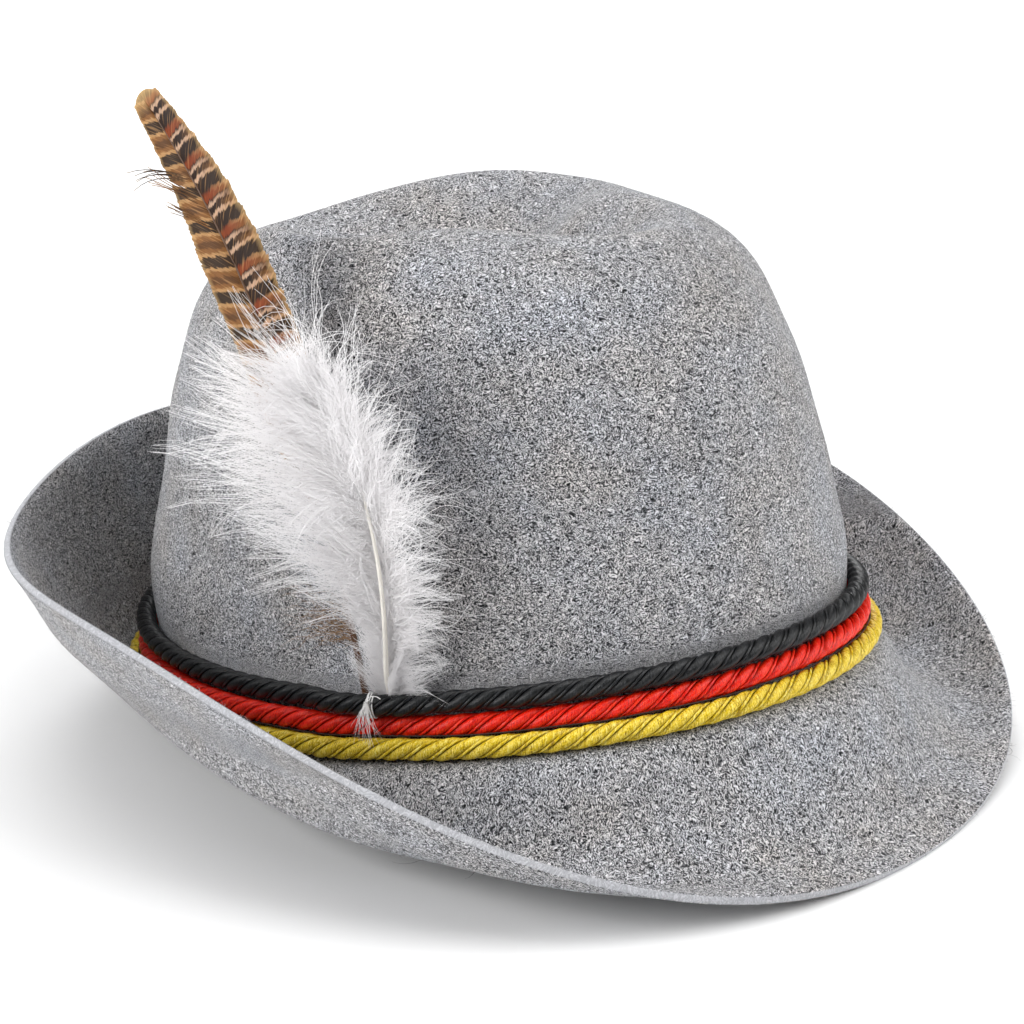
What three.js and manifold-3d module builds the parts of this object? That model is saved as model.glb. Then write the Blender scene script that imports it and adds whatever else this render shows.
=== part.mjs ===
// A Tyrolean hat of pressed grey felt: a creased crown and a snap brim in one piece, three twisted
// cords round the foot of the crown, and a barred pheasant feather with a marabou plume behind them.
//
// Millimetres, +Z up. The front of the hat looks towards -Y and the wearer's right side, which
// carries the feathers, towards -X. The hat rests on the floor at z = 0 by its own weight, on the
// front edge of the brim and on the roll of the brim at the back.

import * as THREE from 'three';
import * as BufferGeometryUtils from 'three/addons/utils/BufferGeometryUtils.js';
import Module from 'manifold-3d';

const wasm = await Module();
wasm.setup();

// Felt body
const headHalfLength = 101.5; // outer felt on the base line, half of front to back
const headHalfWidth = 85; // outer felt on the base line, half of side to side
const crownHeight = 120; // from the base line to the ridges beside the crease
const brimWidth = 54; // from the base line to the cut edge, along the felt
const feltThickness = 2;
const baseRise = 4.5; // how far the base line rises at the front and at the back
const baseFlare = 1.2; // how far the crown steps out where it turns into the brim
const creaseDepth = 22; // from the ridges down to the floor of the crease
const pinchDepth = 2.5; // of the two finger dents at the front
const sagDepth = 9; // of the ridge behind the feathers, were it as wide as the head
const pressDepth = 0.8; // felt flattened where the hat rests

// Cords
const cordDiameter = 5.6;
const cordHeight = 12.6; // of the top cord's centre above the base line
const cordGap = 0.3;

// Feathers
const featherLength = 165; // along the shaft of the pheasant feather, with its quill
const featherHalfWidth = 9.6; // of the widest part of the vane
const featherThickness = 1;
const featherShaft = 1.7; // shaft diameter where it leaves the cord
const plumeLength = 108; // along the quill of the marabou plume
const plumeReach = 46; // of the longest lock
const lockWidth = 21; // of the longest lock
const lockThickness = 8; // of the longest lock
const lockDroop = 0.18; // how far a lock's tip sinks, as a share of its length
const plumeQuill = 1.5; // quill diameter where it leaves the cord
const quillDirection = 70; // where the quills are tucked in, in degrees from the front
const quillSpacing = 6; // between the two quills, side by side
const quillTuck = 3; // how far the quills reach down behind the top cord's middle

// How each quill leans from its lower end to its upper end, in degrees back and towards the
// crown. A bend of 1 lets the lean grow evenly, and a higher one keeps the lower end straighter.
const pheasantLean = { back: [5, 40], inwards: [-1, 12], bend: 1.5 };
const marabouLean = { back: [-14, 60], inwards: [-14, 14], bend: 2 };

// Fineness of the facets and of the fitting
const stationsRound = 60;
const stepsPerSection = 2;
const cordSides = 8;
const quillSides = 6;
const vaneSides = 8;
const quillSteps = 12;
const tiltPasses = 4;
const seatScans = 24;
const seatHalvings = 12;

const feltGrey = new THREE.MeshStandardMaterial({ color: 0x8c8d91, roughness: 0.95, metalness: 0 });
const blackRayon = new THREE.MeshStandardMaterial({ color: 0x1b1c1e, roughness: 0.5, metalness: 0 });
const redRayon = new THREE.MeshStandardMaterial({ color: 0xe01f10, roughness: 0.45, metalness: 0 });
const yellowRayon = new THREE.MeshStandardMaterial({ color: 0xe6c81e, roughness: 0.45, metalness: 0 });
const pheasantBrown = new THREE.MeshStandardMaterial({ color: 0x9a6a3c, roughness: 0.7, metalness: 0 });
const marabouWhite = new THREE.MeshStandardMaterial({ color: 0xf2f0ec, roughness: 0.9, metalness: 0 });

// Five values round one side of the hat, from the front to the back in steps of 45 degrees.
function round(front, frontQuarter, side, backQuarter, back) {
  return [front, frontQuarter, side, backQuarter, back];
}

const allRound = (value) => round(value, value, value, value, value);

// The brim from its cut edge inwards. Both columns are shares of brimWidth: out from the base
// line, and up from it.
const brimSections = [
  {
    name: 'edge',
    out: round(0.615, 0.85, 0.795, 0.635, 0.37),
    up: round(-0.74, -0.275, 0.65, 0.84, 1.045),
  },
  {
    name: 'rise',
    out: round(0.395, 0.625, 0.535, 0.465, 0.285),
    up: round(-0.61, -0.405, 0.28, 0.365, 0.38),
  },
  {
    name: 'roll',
    out: round(0.26, 0.37, 0.395, 0.245, 0.175),
    up: round(-0.305, -0.375, -0.015, 0.09, -0.18),
  },
  {
    name: 'foot',
    out: round(0.13, 0.16, 0.17, 0.12, 0.095),
    up: round(-0.075, -0.055, -0.037, -0.015, -0.037),
  },
];

// The crown from its foot to the ridge beside the crease. Reach is a share of the head oval, and
// height is a share of crownHeight above the base line.
const crownSections = [
  {
    name: 'foot',
    reach: round(0.99, 0.985, 0.98, 0.985, 0.99),
    height: allRound(0.06),
  },
  {
    name: 'low',
    reach: round(0.985, 0.99, 0.91, 0.975, 1),
    height: round(0.19, 0.215, 0.185, 0.2, 0.225),
  },
  {
    name: 'middle',
    reach: round(0.945, 0.94, 0.895, 0.905, 0.92),
    height: round(0.445, 0.47, 0.48, 0.46, 0.43),
  },
  {
    name: 'high',
    reach: round(0.895, 0.88, 0.825, 0.84, 0.85),
    height: round(0.67, 0.685, 0.7, 0.67, 0.64),
  },
  {
    name: 'shoulder',
    reach: round(0.76, 0.757, 0.72, 0.73, 0.75),
    height: round(0.845, 0.89, 0.935, 0.915, 0.825),
  },
  {
    name: 'ridge',
    reach: round(0.63, 0.5, 0.64, 0.59, 0.645),
    height: round(0.925, 0.985, 1.015, 1.02, 0.945),
  },
];

// The crease inside the ridge. Reach is a share of the head oval, and sink is a share of
// creaseDepth below the ridge.
const creaseSections = [
  {
    name: 'lip',
    reach: round(0.55, 0.41, 0.52, 0.49, 0.56),
    sink: round(0.1, 0.14, 0.16, 0.16, 0.1),
  },
  {
    name: 'wall',
    reach: round(0.4, 0.25, 0.3, 0.29, 0.4),
    sink: round(0.38, 0.6, 0.72, 0.72, 0.42),
  },
  {
    name: 'floor',
    reach: round(0.2, 0.12, 0.14, 0.14, 0.2),
    sink: round(0.75, 0.9, 1, 1, 0.78),
  },
];

// The finger dents at the front. Direction and spread are in degrees round the hat, height and
// tall are shares of crownHeight, and depth is a share of pinchDepth.
const pinches = [
  { name: 'right pinch', direction: 22, height: 0.76, depth: 1, spread: 11, tall: 0.14 },
  { name: 'left pinch', direction: -22, height: 0.76, depth: 1, spread: 11, tall: 0.14 },
];

// Where the ridge sags. Direction and spread are in degrees round the hat, and tall is a share of
// crownHeight.
const ridgeSag = { direction: 140, spread: 25, tall: 0.2 };

// The vane of the pheasant feather along its shaft. Along is a share of featherLength, and the
// two sides are shares of featherHalfWidth.
const vaneSections = [
  { along: 0.3, back: 0.25, front: 0.25 },
  { along: 0.42, back: 0.7, front: 0.75 },
  { along: 0.58, back: 0.95, front: 0.98 },
  { along: 0.72, back: 1, front: 1 },
  { along: 0.84, back: 0.86, front: 0.84 },
  { along: 0.93, back: 0.5, front: 0.48 },
  { along: 0.98, back: 0.36, front: 0.34 },
];

// Where the rings of the bare quill lie below the vane, and how much of its diameter a quill loses
// by its tip.
const bareQuill = [0, 0.12, 0.22];
const shaftTaper = 0.75;

// One lock of down from its root to its tip, wide as a share of its full width.
const lockSections = [
  { along: 0, wide: 0.35 },
  { along: 0.2, wide: 0.85 },
  { along: 0.45, wide: 1 },
  { along: 0.7, wide: 0.8 },
  { along: 0.88, wide: 0.42 },
];
const shortLockFullness = 0.45;

// The locks of the marabou plume. Along is a share of plumeLength from the cord, spread is the
// angle from the quill in degrees, positive towards the back of the hat, length is a share of
// plumeReach and lift is the angle off the crown in degrees.
const plumeLocks = [
  { along: 0.12, spread: -24, length: 0.32, lift: 12 },
  { along: 0.12, spread: 30, length: 0.34, lift: 12 },
  { along: 0.2, spread: -38, length: 0.48, lift: 12 },
  { along: 0.2, spread: 48, length: 0.52, lift: 14 },
  { along: 0.3, spread: -42, length: 0.58, lift: 12 },
  { along: 0.28, spread: 66, length: 0.8, lift: 14 },
  { along: 0.42, spread: -40, length: 0.58, lift: 10 },
  { along: 0.37, spread: 72, length: 1, lift: 14 },
  { along: 0.54, spread: -36, length: 0.5, lift: 10 },
  { along: 0.47, spread: 64, length: 1, lift: 14 },
  { along: 0.58, spread: 52, length: 0.95, lift: 12 },
  { along: 0.68, spread: -30, length: 0.44, lift: 10 },
  { along: 0.7, spread: 38, length: 0.8, lift: 12 },
  { along: 0.82, spread: 14, length: 0.6, lift: 8 },
];

// A cosine series through five evenly spaced values, the same on both sides of the hat.
function roundTheHat(values, angle) {
  const last = values.length - 1;
  const halved = (index) => (index === 0 || index === last ? 0.5 : 1);
  let sum = 0;
  for (let wave = 0; wave <= last; wave += 1) {
    let weight = 0;
    values.forEach((value, index) => {
      weight += halved(index) * value * Math.cos((Math.PI * index * wave) / last);
    });
    sum += halved(wave) * weight * Math.cos(wave * angle);
  }
  return (sum * 2) / last;
}

function headReach(angle) {
  const along = headHalfWidth * Math.cos(angle);
  const across = headHalfLength * Math.sin(angle);
  return (headHalfLength * headHalfWidth) / Math.hypot(along, across);
}

function baseLine(angle) {
  return baseRise * Math.cos(angle) ** 2;
}

// A point at an angle from the front, turned towards the wearer's right.
function place(angle, reach, height) {
  return new THREE.Vector3(-reach * Math.sin(angle), -reach * Math.cos(angle), height);
}

// The shorter way round from one angle to another.
function turnBetween(from, to) {
  return Math.atan2(Math.sin(to - from), Math.cos(to - from));
}

function pinchAt(angle, height) {
  let depth = 0;
  for (const pinch of pinches) {
    const turn = turnBetween(THREE.MathUtils.degToRad(pinch.direction), angle);
    const across = THREE.MathUtils.radToDeg(turn) / pinch.spread;
    const up = (height / crownHeight - pinch.height) / pinch.tall;
    depth += pinchDepth * pinch.depth * Math.exp(-across * across - up * up);
  }
  return depth;
}

// How far a point of the crown sags, given its reach as a share of the head oval.
function sagAt(angle, share, height) {
  const turn = turnBetween(THREE.MathUtils.degToRad(ridgeSag.direction), angle);
  const across = THREE.MathUtils.radToDeg(turn) / ridgeSag.spread;
  const below = (crownHeight - height) / (crownHeight * ridgeSag.tall);
  return sagDepth * share * Math.exp(-across * across - below * below);
}

// The outer face of the felt at one angle, from the brim's edge over the crown to the middle of
// the crease.
function outerSection(angle) {
  const head = headReach(angle);
  const base = baseLine(angle);
  const points = brimSections.map(({ out, up }) => place(
    angle,
    head + brimWidth * roundTheHat(out, angle),
    base + brimWidth * roundTheHat(up, angle),
  ));
  const firstCrownPoint = points.length;
  points.push(place(angle, head + baseFlare, base));
  for (const { reach, height } of crownSections) {
    points.push(place(
      angle,
      head * roundTheHat(reach, angle),
      base + crownHeight * roundTheHat(height, angle),
    ));
  }
  const ridgeHeight = points.at(-1).z;
  for (const { reach, sink } of creaseSections) {
    points.push(place(
      angle,
      head * roundTheHat(reach, angle),
      ridgeHeight - creaseDepth * roundTheHat(sink, angle),
    ));
  }
  points.push(place(angle, 0, crownHeight - creaseDepth));
  const curve = new THREE.CatmullRomCurve3(points);
  const steps = (points.length - 1) * stepsPerSection;
  const section = [];
  for (let step = 0; step <= steps; step += 1) {
    const point = curve.getPoint(step / steps);
    if (step > firstCrownPoint * stepsPerSection) {
      const pinched = 1 - pinchAt(angle, point.z) / head;
      const sag = sagAt(angle, Math.hypot(point.x, point.y) / head, point.z);
      point.setX(point.x * pinched).setY(point.y * pinched).setZ(point.z - sag);
    }
    section.push(point);
  }
  return section;
}

// A closed mesh over rings of points. The rings close on themselves in a loop, or each end is
// drawn in to a point.
function skin(rings, ends) {
  const count = rings[0].length;
  const points = rings.flat();
  const positions = points.flatMap((point) => point.toArray());
  const indices = [];
  const quad = (first, second) => {
    for (let side = 0; side < count; side += 1) {
      const next = (side + 1) % count;
      const [near, nearNext] = [first * count + side, first * count + next];
      const [far, farNext] = [second * count + side, second * count + next];
      if (points[near].distanceTo(points[farNext]) < points[nearNext].distanceTo(points[far])) {
        indices.push(near, nearNext, farNext, near, farNext, far);
      } else {
        indices.push(near, nearNext, far, far, nearNext, farNext);
      }
    }
  };
  for (let ring = 0; ring + 1 < rings.length; ring += 1) {
    quad(ring, ring + 1);
  }
  if (ends) {
    const start = positions.length / 3;
    positions.push(...ends[0].toArray(), ...ends[1].toArray());
    const last = (rings.length - 1) * count;
    for (let side = 0; side < count; side += 1) {
      const next = (side + 1) % count;
      indices.push(start, next, side);
      indices.push(start + 1, last + side, last + next);
    }
  } else {
    quad(rings.length - 1, 0);
  }
  const geometry = new THREE.BufferGeometry();
  geometry.setAttribute('position', new THREE.Float32BufferAttribute(positions, 3));
  geometry.setIndex(indices);
  if (signedVolume(geometry).volume < 0) {
    const turned = [];
    for (let corner = 0; corner < indices.length; corner += 3) {
      turned.push(indices[corner], indices[corner + 2], indices[corner + 1]);
    }
    geometry.setIndex(turned);
  }
  return geometry;
}

// The volume of a closed mesh and the middle of its mass.
function signedVolume(geometry) {
  const corners = ['a', 'b', 'c'].map(() => new THREE.Vector3());
  const middle = new THREE.Vector3();
  let volume = 0;
  for (let corner = 0; corner < geometry.index.count; corner += 3) {
    corners.forEach((point, offset) => {
      point.fromBufferAttribute(geometry.attributes.position, geometry.index.getX(corner + offset));
    });
    const share = corners[0].dot(new THREE.Vector3().crossVectors(corners[1], corners[2])) / 6;
    volume += share;
    corners.forEach((point) => middle.addScaledVector(point, share / 4));
  }
  return { volume, middle: middle.divideScalar(volume) };
}

function toManifold(geometry) {
  const bare = geometry.clone();
  bare.deleteAttribute('normal');
  bare.deleteAttribute('uv');
  const merged = BufferGeometryUtils.mergeVertices(bare);
  return new wasm.Manifold(new wasm.Mesh({
    numProp: 3,
    vertProperties: new Float32Array(merged.attributes.position.array),
    triVerts: new Uint32Array(merged.index.array),
  }));
}

function fromManifold(solid) {
  const mesh = solid.getMesh();
  const geometry = new THREE.BufferGeometry();
  geometry.setAttribute('position', new THREE.Float32BufferAttribute(mesh.vertProperties, 3));
  geometry.setIndex(Array.from(mesh.triVerts));
  return geometry;
}

const stationTurn = (2 * Math.PI) / stationsRound;
const angles = Array.from({ length: stationsRound }, (unused, station) => stationTurn * station);
const outerSections = angles.map(outerSection);

// The felt's lining side lies feltThickness inside the outer face, square to it.
function innerSections() {
  const stations = outerSections.length;
  const last = outerSections[0].length - 1;
  return outerSections.map((section, station) => section.map((point, step) => {
    if (step === last) {
      return point.clone().setZ(point.z - feltThickness);
    }
    const along = section[step + 1].clone().sub(section[Math.max(step - 1, 0)]);
    const sideways = outerSections[(station + 1) % stations][step].clone()
      .sub(outerSections[(station + stations - 1) % stations][step]);
    const inwards = sideways.cross(along).normalize();
    return point.clone().addScaledVector(inwards, feltThickness);
  }));
}

function feltShell() {
  const inner = innerSections();
  const top = outerSections[0].length - 1;
  const rings = [];
  for (let step = top - 1; step >= 0; step -= 1) {
    rings.push(outerSections.map((section) => section[step]));
  }
  for (let step = 0; step < top; step += 1) {
    rings.push(inner.map((section) => section[step]));
  }
  return skin(rings, [outerSections[0][top], inner[0][top]]);
}

// The line that the hat settles on, seen from its side: the two lowest places of the felt with
// the middle of its mass between them.
function restingTilt(geometry) {
  const { middle } = signedVolume(geometry);
  const places = [];
  for (let index = 0; index < geometry.attributes.position.count; index += 1) {
    places.push(new THREE.Vector3().fromBufferAttribute(geometry.attributes.position, index));
  }
  const ahead = places.filter((point) => point.y < middle.y);
  const behind = places.filter((point) => point.y >= middle.y);
  const heightUnderMiddle = (front, back) => front.z
    + ((back.z - front.z) * (middle.y - front.y)) / (back.y - front.y);
  let front = ahead[0];
  let back = behind[0];
  for (let pass = 0; pass < tiltPasses; pass += 1) {
    back = behind.reduce((best, point) => (
      heightUnderMiddle(front, point) < heightUnderMiddle(front, best) ? point : best));
    front = ahead.reduce((best, point) => (
      heightUnderMiddle(point, back) < heightUnderMiddle(best, back) ? point : best));
  }
  return Math.atan2(front.z - back.z, back.y - front.y);
}

const shell = feltShell();
const hat = new THREE.Group();
hat.rotation.x = restingTilt(shell);
hat.updateMatrixWorld();
const standing = shell.clone().applyMatrix4(hat.matrixWorld);
standing.computeBoundingBox();
hat.position.z = -standing.boundingBox.min.z - pressDepth;
hat.updateMatrixWorld();

// The felt lies flat on the floor where it rests.
function pressedFelt() {
  const floorSize = 6 * headHalfLength;
  const floor = new THREE.BoxGeometry(floorSize, floorSize, crownHeight);
  floor.translate(0, 0, -crownHeight / 2);
  floor.applyMatrix4(hat.matrixWorld.clone().invert());
  return fromManifold(toManifold(shell).subtract(toManifold(floor)));
}

const sectionsUnderCords = brimSections.length + 3;

// The brim and the lower half of the crown in one section, as reach and height.
function lowerProfile(section) {
  return section.slice(0, sectionsUnderCords * stepsPerSection + 1)
    .map((point) => new THREE.Vector2(Math.hypot(point.x, point.y), point.z));
}

// Distance in one section from a spot (reach, height) to the outer face of the felt.
function clearOfFelt(profile, spot) {
  let nearest = Infinity;
  for (let index = 0; index + 1 < profile.length; index += 1) {
    const edge = profile[index + 1].clone().sub(profile[index]);
    const along = spot.clone().sub(profile[index]).dot(edge) / edge.lengthSq();
    const foot = profile[index].clone().addScaledVector(edge, THREE.MathUtils.clamp(along, 0, 1));
    nearest = Math.min(nearest, foot.distanceTo(spot));
  }
  return nearest;
}

// How far out the crown's wall stands at a height in one section.
function wallReach(profile, height) {
  const firstOfCrown = brimSections.length * stepsPerSection;
  const above = profile.findIndex((point, index) => index > firstOfCrown && point.y > height);
  const [lower, upper] = [profile[above - 1], profile[above]];
  return THREE.MathUtils.mapLinear(height, lower.y, upper.y, lower.x, upper.x);
}

// The first value between low and high for which a spot keeps a cord clear of the felt.
function seat(profile, low, high, spotAt) {
  const isClear = (value) => clearOfFelt(profile, spotAt(value)) >= cordDiameter / 2 + cordGap;
  let near = low;
  let far = high;
  for (let scan = 0; scan <= seatScans; scan += 1) {
    const value = THREE.MathUtils.lerp(low, high, scan / seatScans);
    if (isClear(value)) {
      far = value;
      break;
    }
    near = value;
  }
  for (let halving = 0; halving < seatHalvings; halving += 1) {
    const halfway = (near + far) / 2;
    if (isClear(halfway)) {
      far = halfway;
    } else {
      near = halfway;
    }
  }
  return spotAt(far);
}

// The quills' lower ends stand against the felt, quillTuck below the middle of the top cord.
const tuckAngle = THREE.MathUtils.degToRad(quillDirection);
const tuckHeight = baseLine(tuckAngle) + cordHeight - quillTuck;
const tuckProfile = lowerProfile(outerSection(tuckAngle));
const tuckReach = wallReach(tuckProfile, tuckHeight);

// The top cord is lifted off the felt where the quills pass behind it.
function quillBulge(angle) {
  const lift = tuckReach - wallReach(tuckProfile, tuckHeight + quillTuck)
    + Math.max(featherShaft, plumeQuill) + 2 * cordGap;
  const away = headReach(angle) * turnBetween(tuckAngle, angle);
  const reach = quillSpacing + headReach(angle) * stationTurn;
  const steepness = 6;
  return lift * Math.exp(-((away / reach) ** steepness));
}

// The middles of the three cords in each section: the top one against the crown, each of the
// others against the felt and the cord above. The swing of a cord under the one above is in
// degrees from straight below it, outwards.
function cordMiddles() {
  const tops = [];
  const seconds = [];
  const lowest = [];
  const [innerSwing, outerSwing] = [-35, 80].map(THREE.MathUtils.degToRad);
  const spacing = cordDiameter + cordGap;
  angles.forEach((angle, station) => {
    const profile = lowerProfile(outerSections[station]);
    const height = baseLine(angle) + cordHeight;
    const wall = wallReach(profile, height);
    const top = seat(profile, wall, wall + 2 * cordDiameter, (reach) => new THREE.Vector2(reach, height));
    top.x += quillBulge(angle);
    const below = (cord) => seat(profile, innerSwing, outerSwing, (swing) => new THREE.Vector2(
      cord.x + spacing * Math.sin(swing),
      cord.y - spacing * Math.cos(swing),
    ));
    const second = below(top);
    tops.push(top);
    seconds.push(second);
    lowest.push(below(second));
  });
  return [tops, seconds, lowest];
}

function cordLoop(middles) {
  return skin(middles.map((middle, station) => {
    const ring = [];
    for (let side = 0; side < cordSides; side += 1) {
      const turn = (2 * Math.PI * side) / cordSides;
      const reach = middle.x + (cordDiameter / 2) * Math.cos(turn);
      ring.push(place(angles[station], reach, middle.y + (cordDiameter / 2) * Math.sin(turn)));
    }
    return ring;
  }));
}

// The place where the quills are tucked in: a point on the felt, with the directions up, back
// along the hat and out from it.
function quillSeat() {
  const foot = place(tuckAngle, tuckReach, tuckHeight);
  const out = new THREE.Vector3(foot.x / headHalfWidth ** 2, foot.y / headHalfLength ** 2, 0).normalize();
  const up = new THREE.Vector3(0, 0, 1);
  return { foot, up, out, back: new THREE.Vector3().crossVectors(out, up) };
}

const tucked = quillSeat();

// A quill from its lower end, which stands beside the tucked place.
function quillPath(length, start, lean) {
  const points = [];
  const point = tucked.foot.clone()
    .addScaledVector(tucked.back, start.back).addScaledVector(tucked.out, start.out);
  const stride = length / quillSteps;
  for (let step = 0; step <= quillSteps; step += 1) {
    points.push(point.clone());
    const share = ((step + 0.5) / quillSteps) ** lean.bend;
    const back = THREE.MathUtils.degToRad(THREE.MathUtils.lerp(...lean.back, share));
    const inwards = THREE.MathUtils.degToRad(THREE.MathUtils.lerp(...lean.inwards, share));
    point.addScaledVector(tucked.up, stride * Math.cos(back) * Math.cos(inwards));
    point.addScaledVector(tucked.back, stride * Math.sin(back) * Math.cos(inwards));
    point.addScaledVector(tucked.out, -stride * Math.sin(inwards));
  }
  return new THREE.CatmullRomCurve3(points);
}

// The directions at a place along a quill: forward to its tip, side to the back of the hat and
// face away from the crown.
function quillFrame(spine, along) {
  const forward = spine.getTangentAt(along);
  const side = new THREE.Vector3().crossVectors(tucked.out, forward).normalize();
  const face = new THREE.Vector3().crossVectors(forward, side);
  return { middle: spine.getPointAt(along), forward, side, face };
}

// An even ring of corners, wide along side and thick along face.
function ovalRing({ middle, side, face }, halfWidth, halfThickness, corners) {
  return Array.from({ length: corners }, (unused, corner) => {
    const turn = (2 * Math.PI * corner) / corners;
    return middle.clone().addScaledVector(side, halfWidth * Math.cos(turn))
      .addScaledVector(face, halfThickness * Math.sin(turn));
  });
}

// The pheasant feather: a round quill that widens into a thin vane with the shaft along it.
function pheasantFeather() {
  const start = { back: quillSpacing / 2, out: featherShaft / 2 + cordGap };
  const spine = quillPath(featherLength, start, pheasantLean);
  const shaftAt = (along) => (featherShaft / 2) * (1 - shaftTaper * along);
  const vaneRing = ({ along, back, front }) => {
    const { middle, side, face } = quillFrame(spine, along);
    const half = featherThickness / 2;
    const [wide, narrow] = [back * featherHalfWidth, -front * featherHalfWidth];
    const outline = [
      [wide, 0], [wide / 2, half], [0, shaftAt(along)], [narrow / 2, half],
      [narrow, 0], [narrow / 2, -half], [0, -shaftAt(along)], [wide / 2, -half],
    ];
    return outline.map(([across, over]) => middle.clone()
      .addScaledVector(side, across).addScaledVector(face, over));
  };
  const quillRings = bareQuill.map((along) => (
    ovalRing(quillFrame(spine, along), shaftAt(along), shaftAt(along), vaneSides)));
  return skin([...quillRings, ...vaneSections.map(vaneRing)], [spine.getPointAt(0), spine.getPointAt(1)]);
}

// One lock of down: a flattened leaf that starts inside the quill and bends over at its tip. A
// short lock is slimmer than a long one, but less so than it is shorter.
function plumeLock(root, direction, length) {
  const side = new THREE.Vector3().crossVectors(direction, tucked.out).normalize();
  const face = new THREE.Vector3().crossVectors(side, direction);
  const fullness = THREE.MathUtils.lerp(shortLockFullness, 1, length / plumeReach);
  const middleAt = (along) => root.clone().addScaledVector(direction, length * along)
    .addScaledVector(tucked.up, -lockDroop * length * along * along);
  const rings = lockSections.map(({ along, wide }) => ovalRing(
    { middle: middleAt(along), side, face },
    (lockWidth / 2) * wide * fullness,
    (lockThickness / 2) * wide * fullness,
    quillSides,
  ));
  return skin(rings, [root, middleAt(1)]);
}

// The marabou plume: a quill with locks of down fused to it.
function marabouPlume() {
  const start = { back: -quillSpacing / 2, out: plumeQuill / 2 + cordGap };
  const spine = quillPath(plumeLength, start, marabouLean);
  const rings = [];
  for (let step = 0; step < quillSteps; step += 1) {
    const along = step / quillSteps;
    const radius = (plumeQuill / 2) * (1 - shaftTaper * along);
    rings.push(ovalRing(quillFrame(spine, along), radius, radius, quillSides));
  }
  let plume = toManifold(skin(rings, [spine.getPointAt(0), spine.getPointAt(1)]));
  for (const { along, spread, length, lift } of plumeLocks) {
    const { middle, forward, side } = quillFrame(spine, along);
    const turn = THREE.MathUtils.degToRad(spread);
    const rise = THREE.MathUtils.degToRad(lift);
    const direction = forward.clone().multiplyScalar(Math.cos(turn))
      .addScaledVector(side, Math.sin(turn)).multiplyScalar(Math.cos(rise))
      .addScaledVector(tucked.out, Math.sin(rise));
    plume = plume.add(toManifold(plumeLock(middle, direction, length * plumeReach)));
  }
  return fromManifold(plume);
}

function addPiece(name, geometry, material) {
  const mesh = new THREE.Mesh(geometry, material);
  mesh.name = name;
  hat.add(mesh);
}

const [topCord, middleCord, lowCord] = cordMiddles();
addPiece('felt_body', pressedFelt(), feltGrey);
addPiece('cord_black', cordLoop(topCord), blackRayon);
addPiece('cord_red', cordLoop(middleCord), redRayon);
addPiece('cord_yellow', cordLoop(lowCord), yellowRayon);
addPiece('pheasant_feather', pheasantFeather(), pheasantBrown);
addPiece('marabou_plume', marabouPlume(), marabouWhite);

// The origin is on the floor, under the middle of the hat's overall box.
const middle = new THREE.Box3().setFromObject(hat, true).getCenter(new THREE.Vector3());
hat.position.x -= middle.x;
hat.position.y -= middle.y;

const group = new THREE.Group();
group.add(hat);

export default group;
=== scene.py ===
"""A Tyrolean hat of grey heather felt with three twisted cords, a pheasant feather and a down plume.

The hat stands on a pale floor as it would by itself, on the front edge of its brim and on the roll of
the brim at the back. Its front looks towards -Y and the feathers are on the wearer's right, at -X.
Sizes are in millimetres and meshes are in metres.
"""

import logging
import math
from dataclasses import dataclass
from enum import Enum
from typing import Any, Optional, Sequence

import bpy
import numpy as np
from mathutils import Matrix, Vector


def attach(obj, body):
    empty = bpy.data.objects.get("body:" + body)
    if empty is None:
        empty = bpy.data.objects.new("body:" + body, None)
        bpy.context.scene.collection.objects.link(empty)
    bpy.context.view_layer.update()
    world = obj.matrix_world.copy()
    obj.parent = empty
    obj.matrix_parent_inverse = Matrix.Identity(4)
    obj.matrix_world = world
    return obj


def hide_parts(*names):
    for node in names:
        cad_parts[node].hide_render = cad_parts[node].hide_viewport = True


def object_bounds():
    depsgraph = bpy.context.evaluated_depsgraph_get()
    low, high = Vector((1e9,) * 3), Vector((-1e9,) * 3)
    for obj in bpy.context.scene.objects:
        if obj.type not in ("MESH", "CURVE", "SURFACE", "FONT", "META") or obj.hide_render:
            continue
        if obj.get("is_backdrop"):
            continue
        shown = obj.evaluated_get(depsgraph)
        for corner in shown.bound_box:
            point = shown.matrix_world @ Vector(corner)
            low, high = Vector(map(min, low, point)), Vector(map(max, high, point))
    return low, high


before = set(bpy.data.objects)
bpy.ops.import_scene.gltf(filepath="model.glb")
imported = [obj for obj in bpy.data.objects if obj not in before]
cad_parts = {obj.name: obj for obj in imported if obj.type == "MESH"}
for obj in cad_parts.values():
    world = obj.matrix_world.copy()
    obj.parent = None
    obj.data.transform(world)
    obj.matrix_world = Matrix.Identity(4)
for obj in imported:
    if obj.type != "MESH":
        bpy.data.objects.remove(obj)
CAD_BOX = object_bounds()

log = logging.getLogger("hat")
Array = np.ndarray
MM = 0.001
# Free space between the felt and a quill, in millimetres, and the range of a wave's phase.
QUILL_GAP = 0.3
ANY_PHASE = (0, 6.3)


class Side(Enum):
    """The side of a quill that a barb grows on."""

    BACK = 1
    FRONT = -1


def linear(hex_colour: str) -> tuple[float, float, float, float]:
    """Turns an sRGB hex value into a linear colour.

    Args:
        hex_colour: Six hex digits after a hash.

    Returns:
        Linear red, green and blue, and an alpha of 1.
    """
    channels = [int(hex_colour[place:place + 2], 16) / 255 for place in (1, 3, 5)]
    curved = [c / 12.92 if c <= 0.04045 else ((c + 0.055) / 1.055) ** 2.4 for c in channels]
    return curved[0], curved[1], curved[2], 1.0


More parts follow.
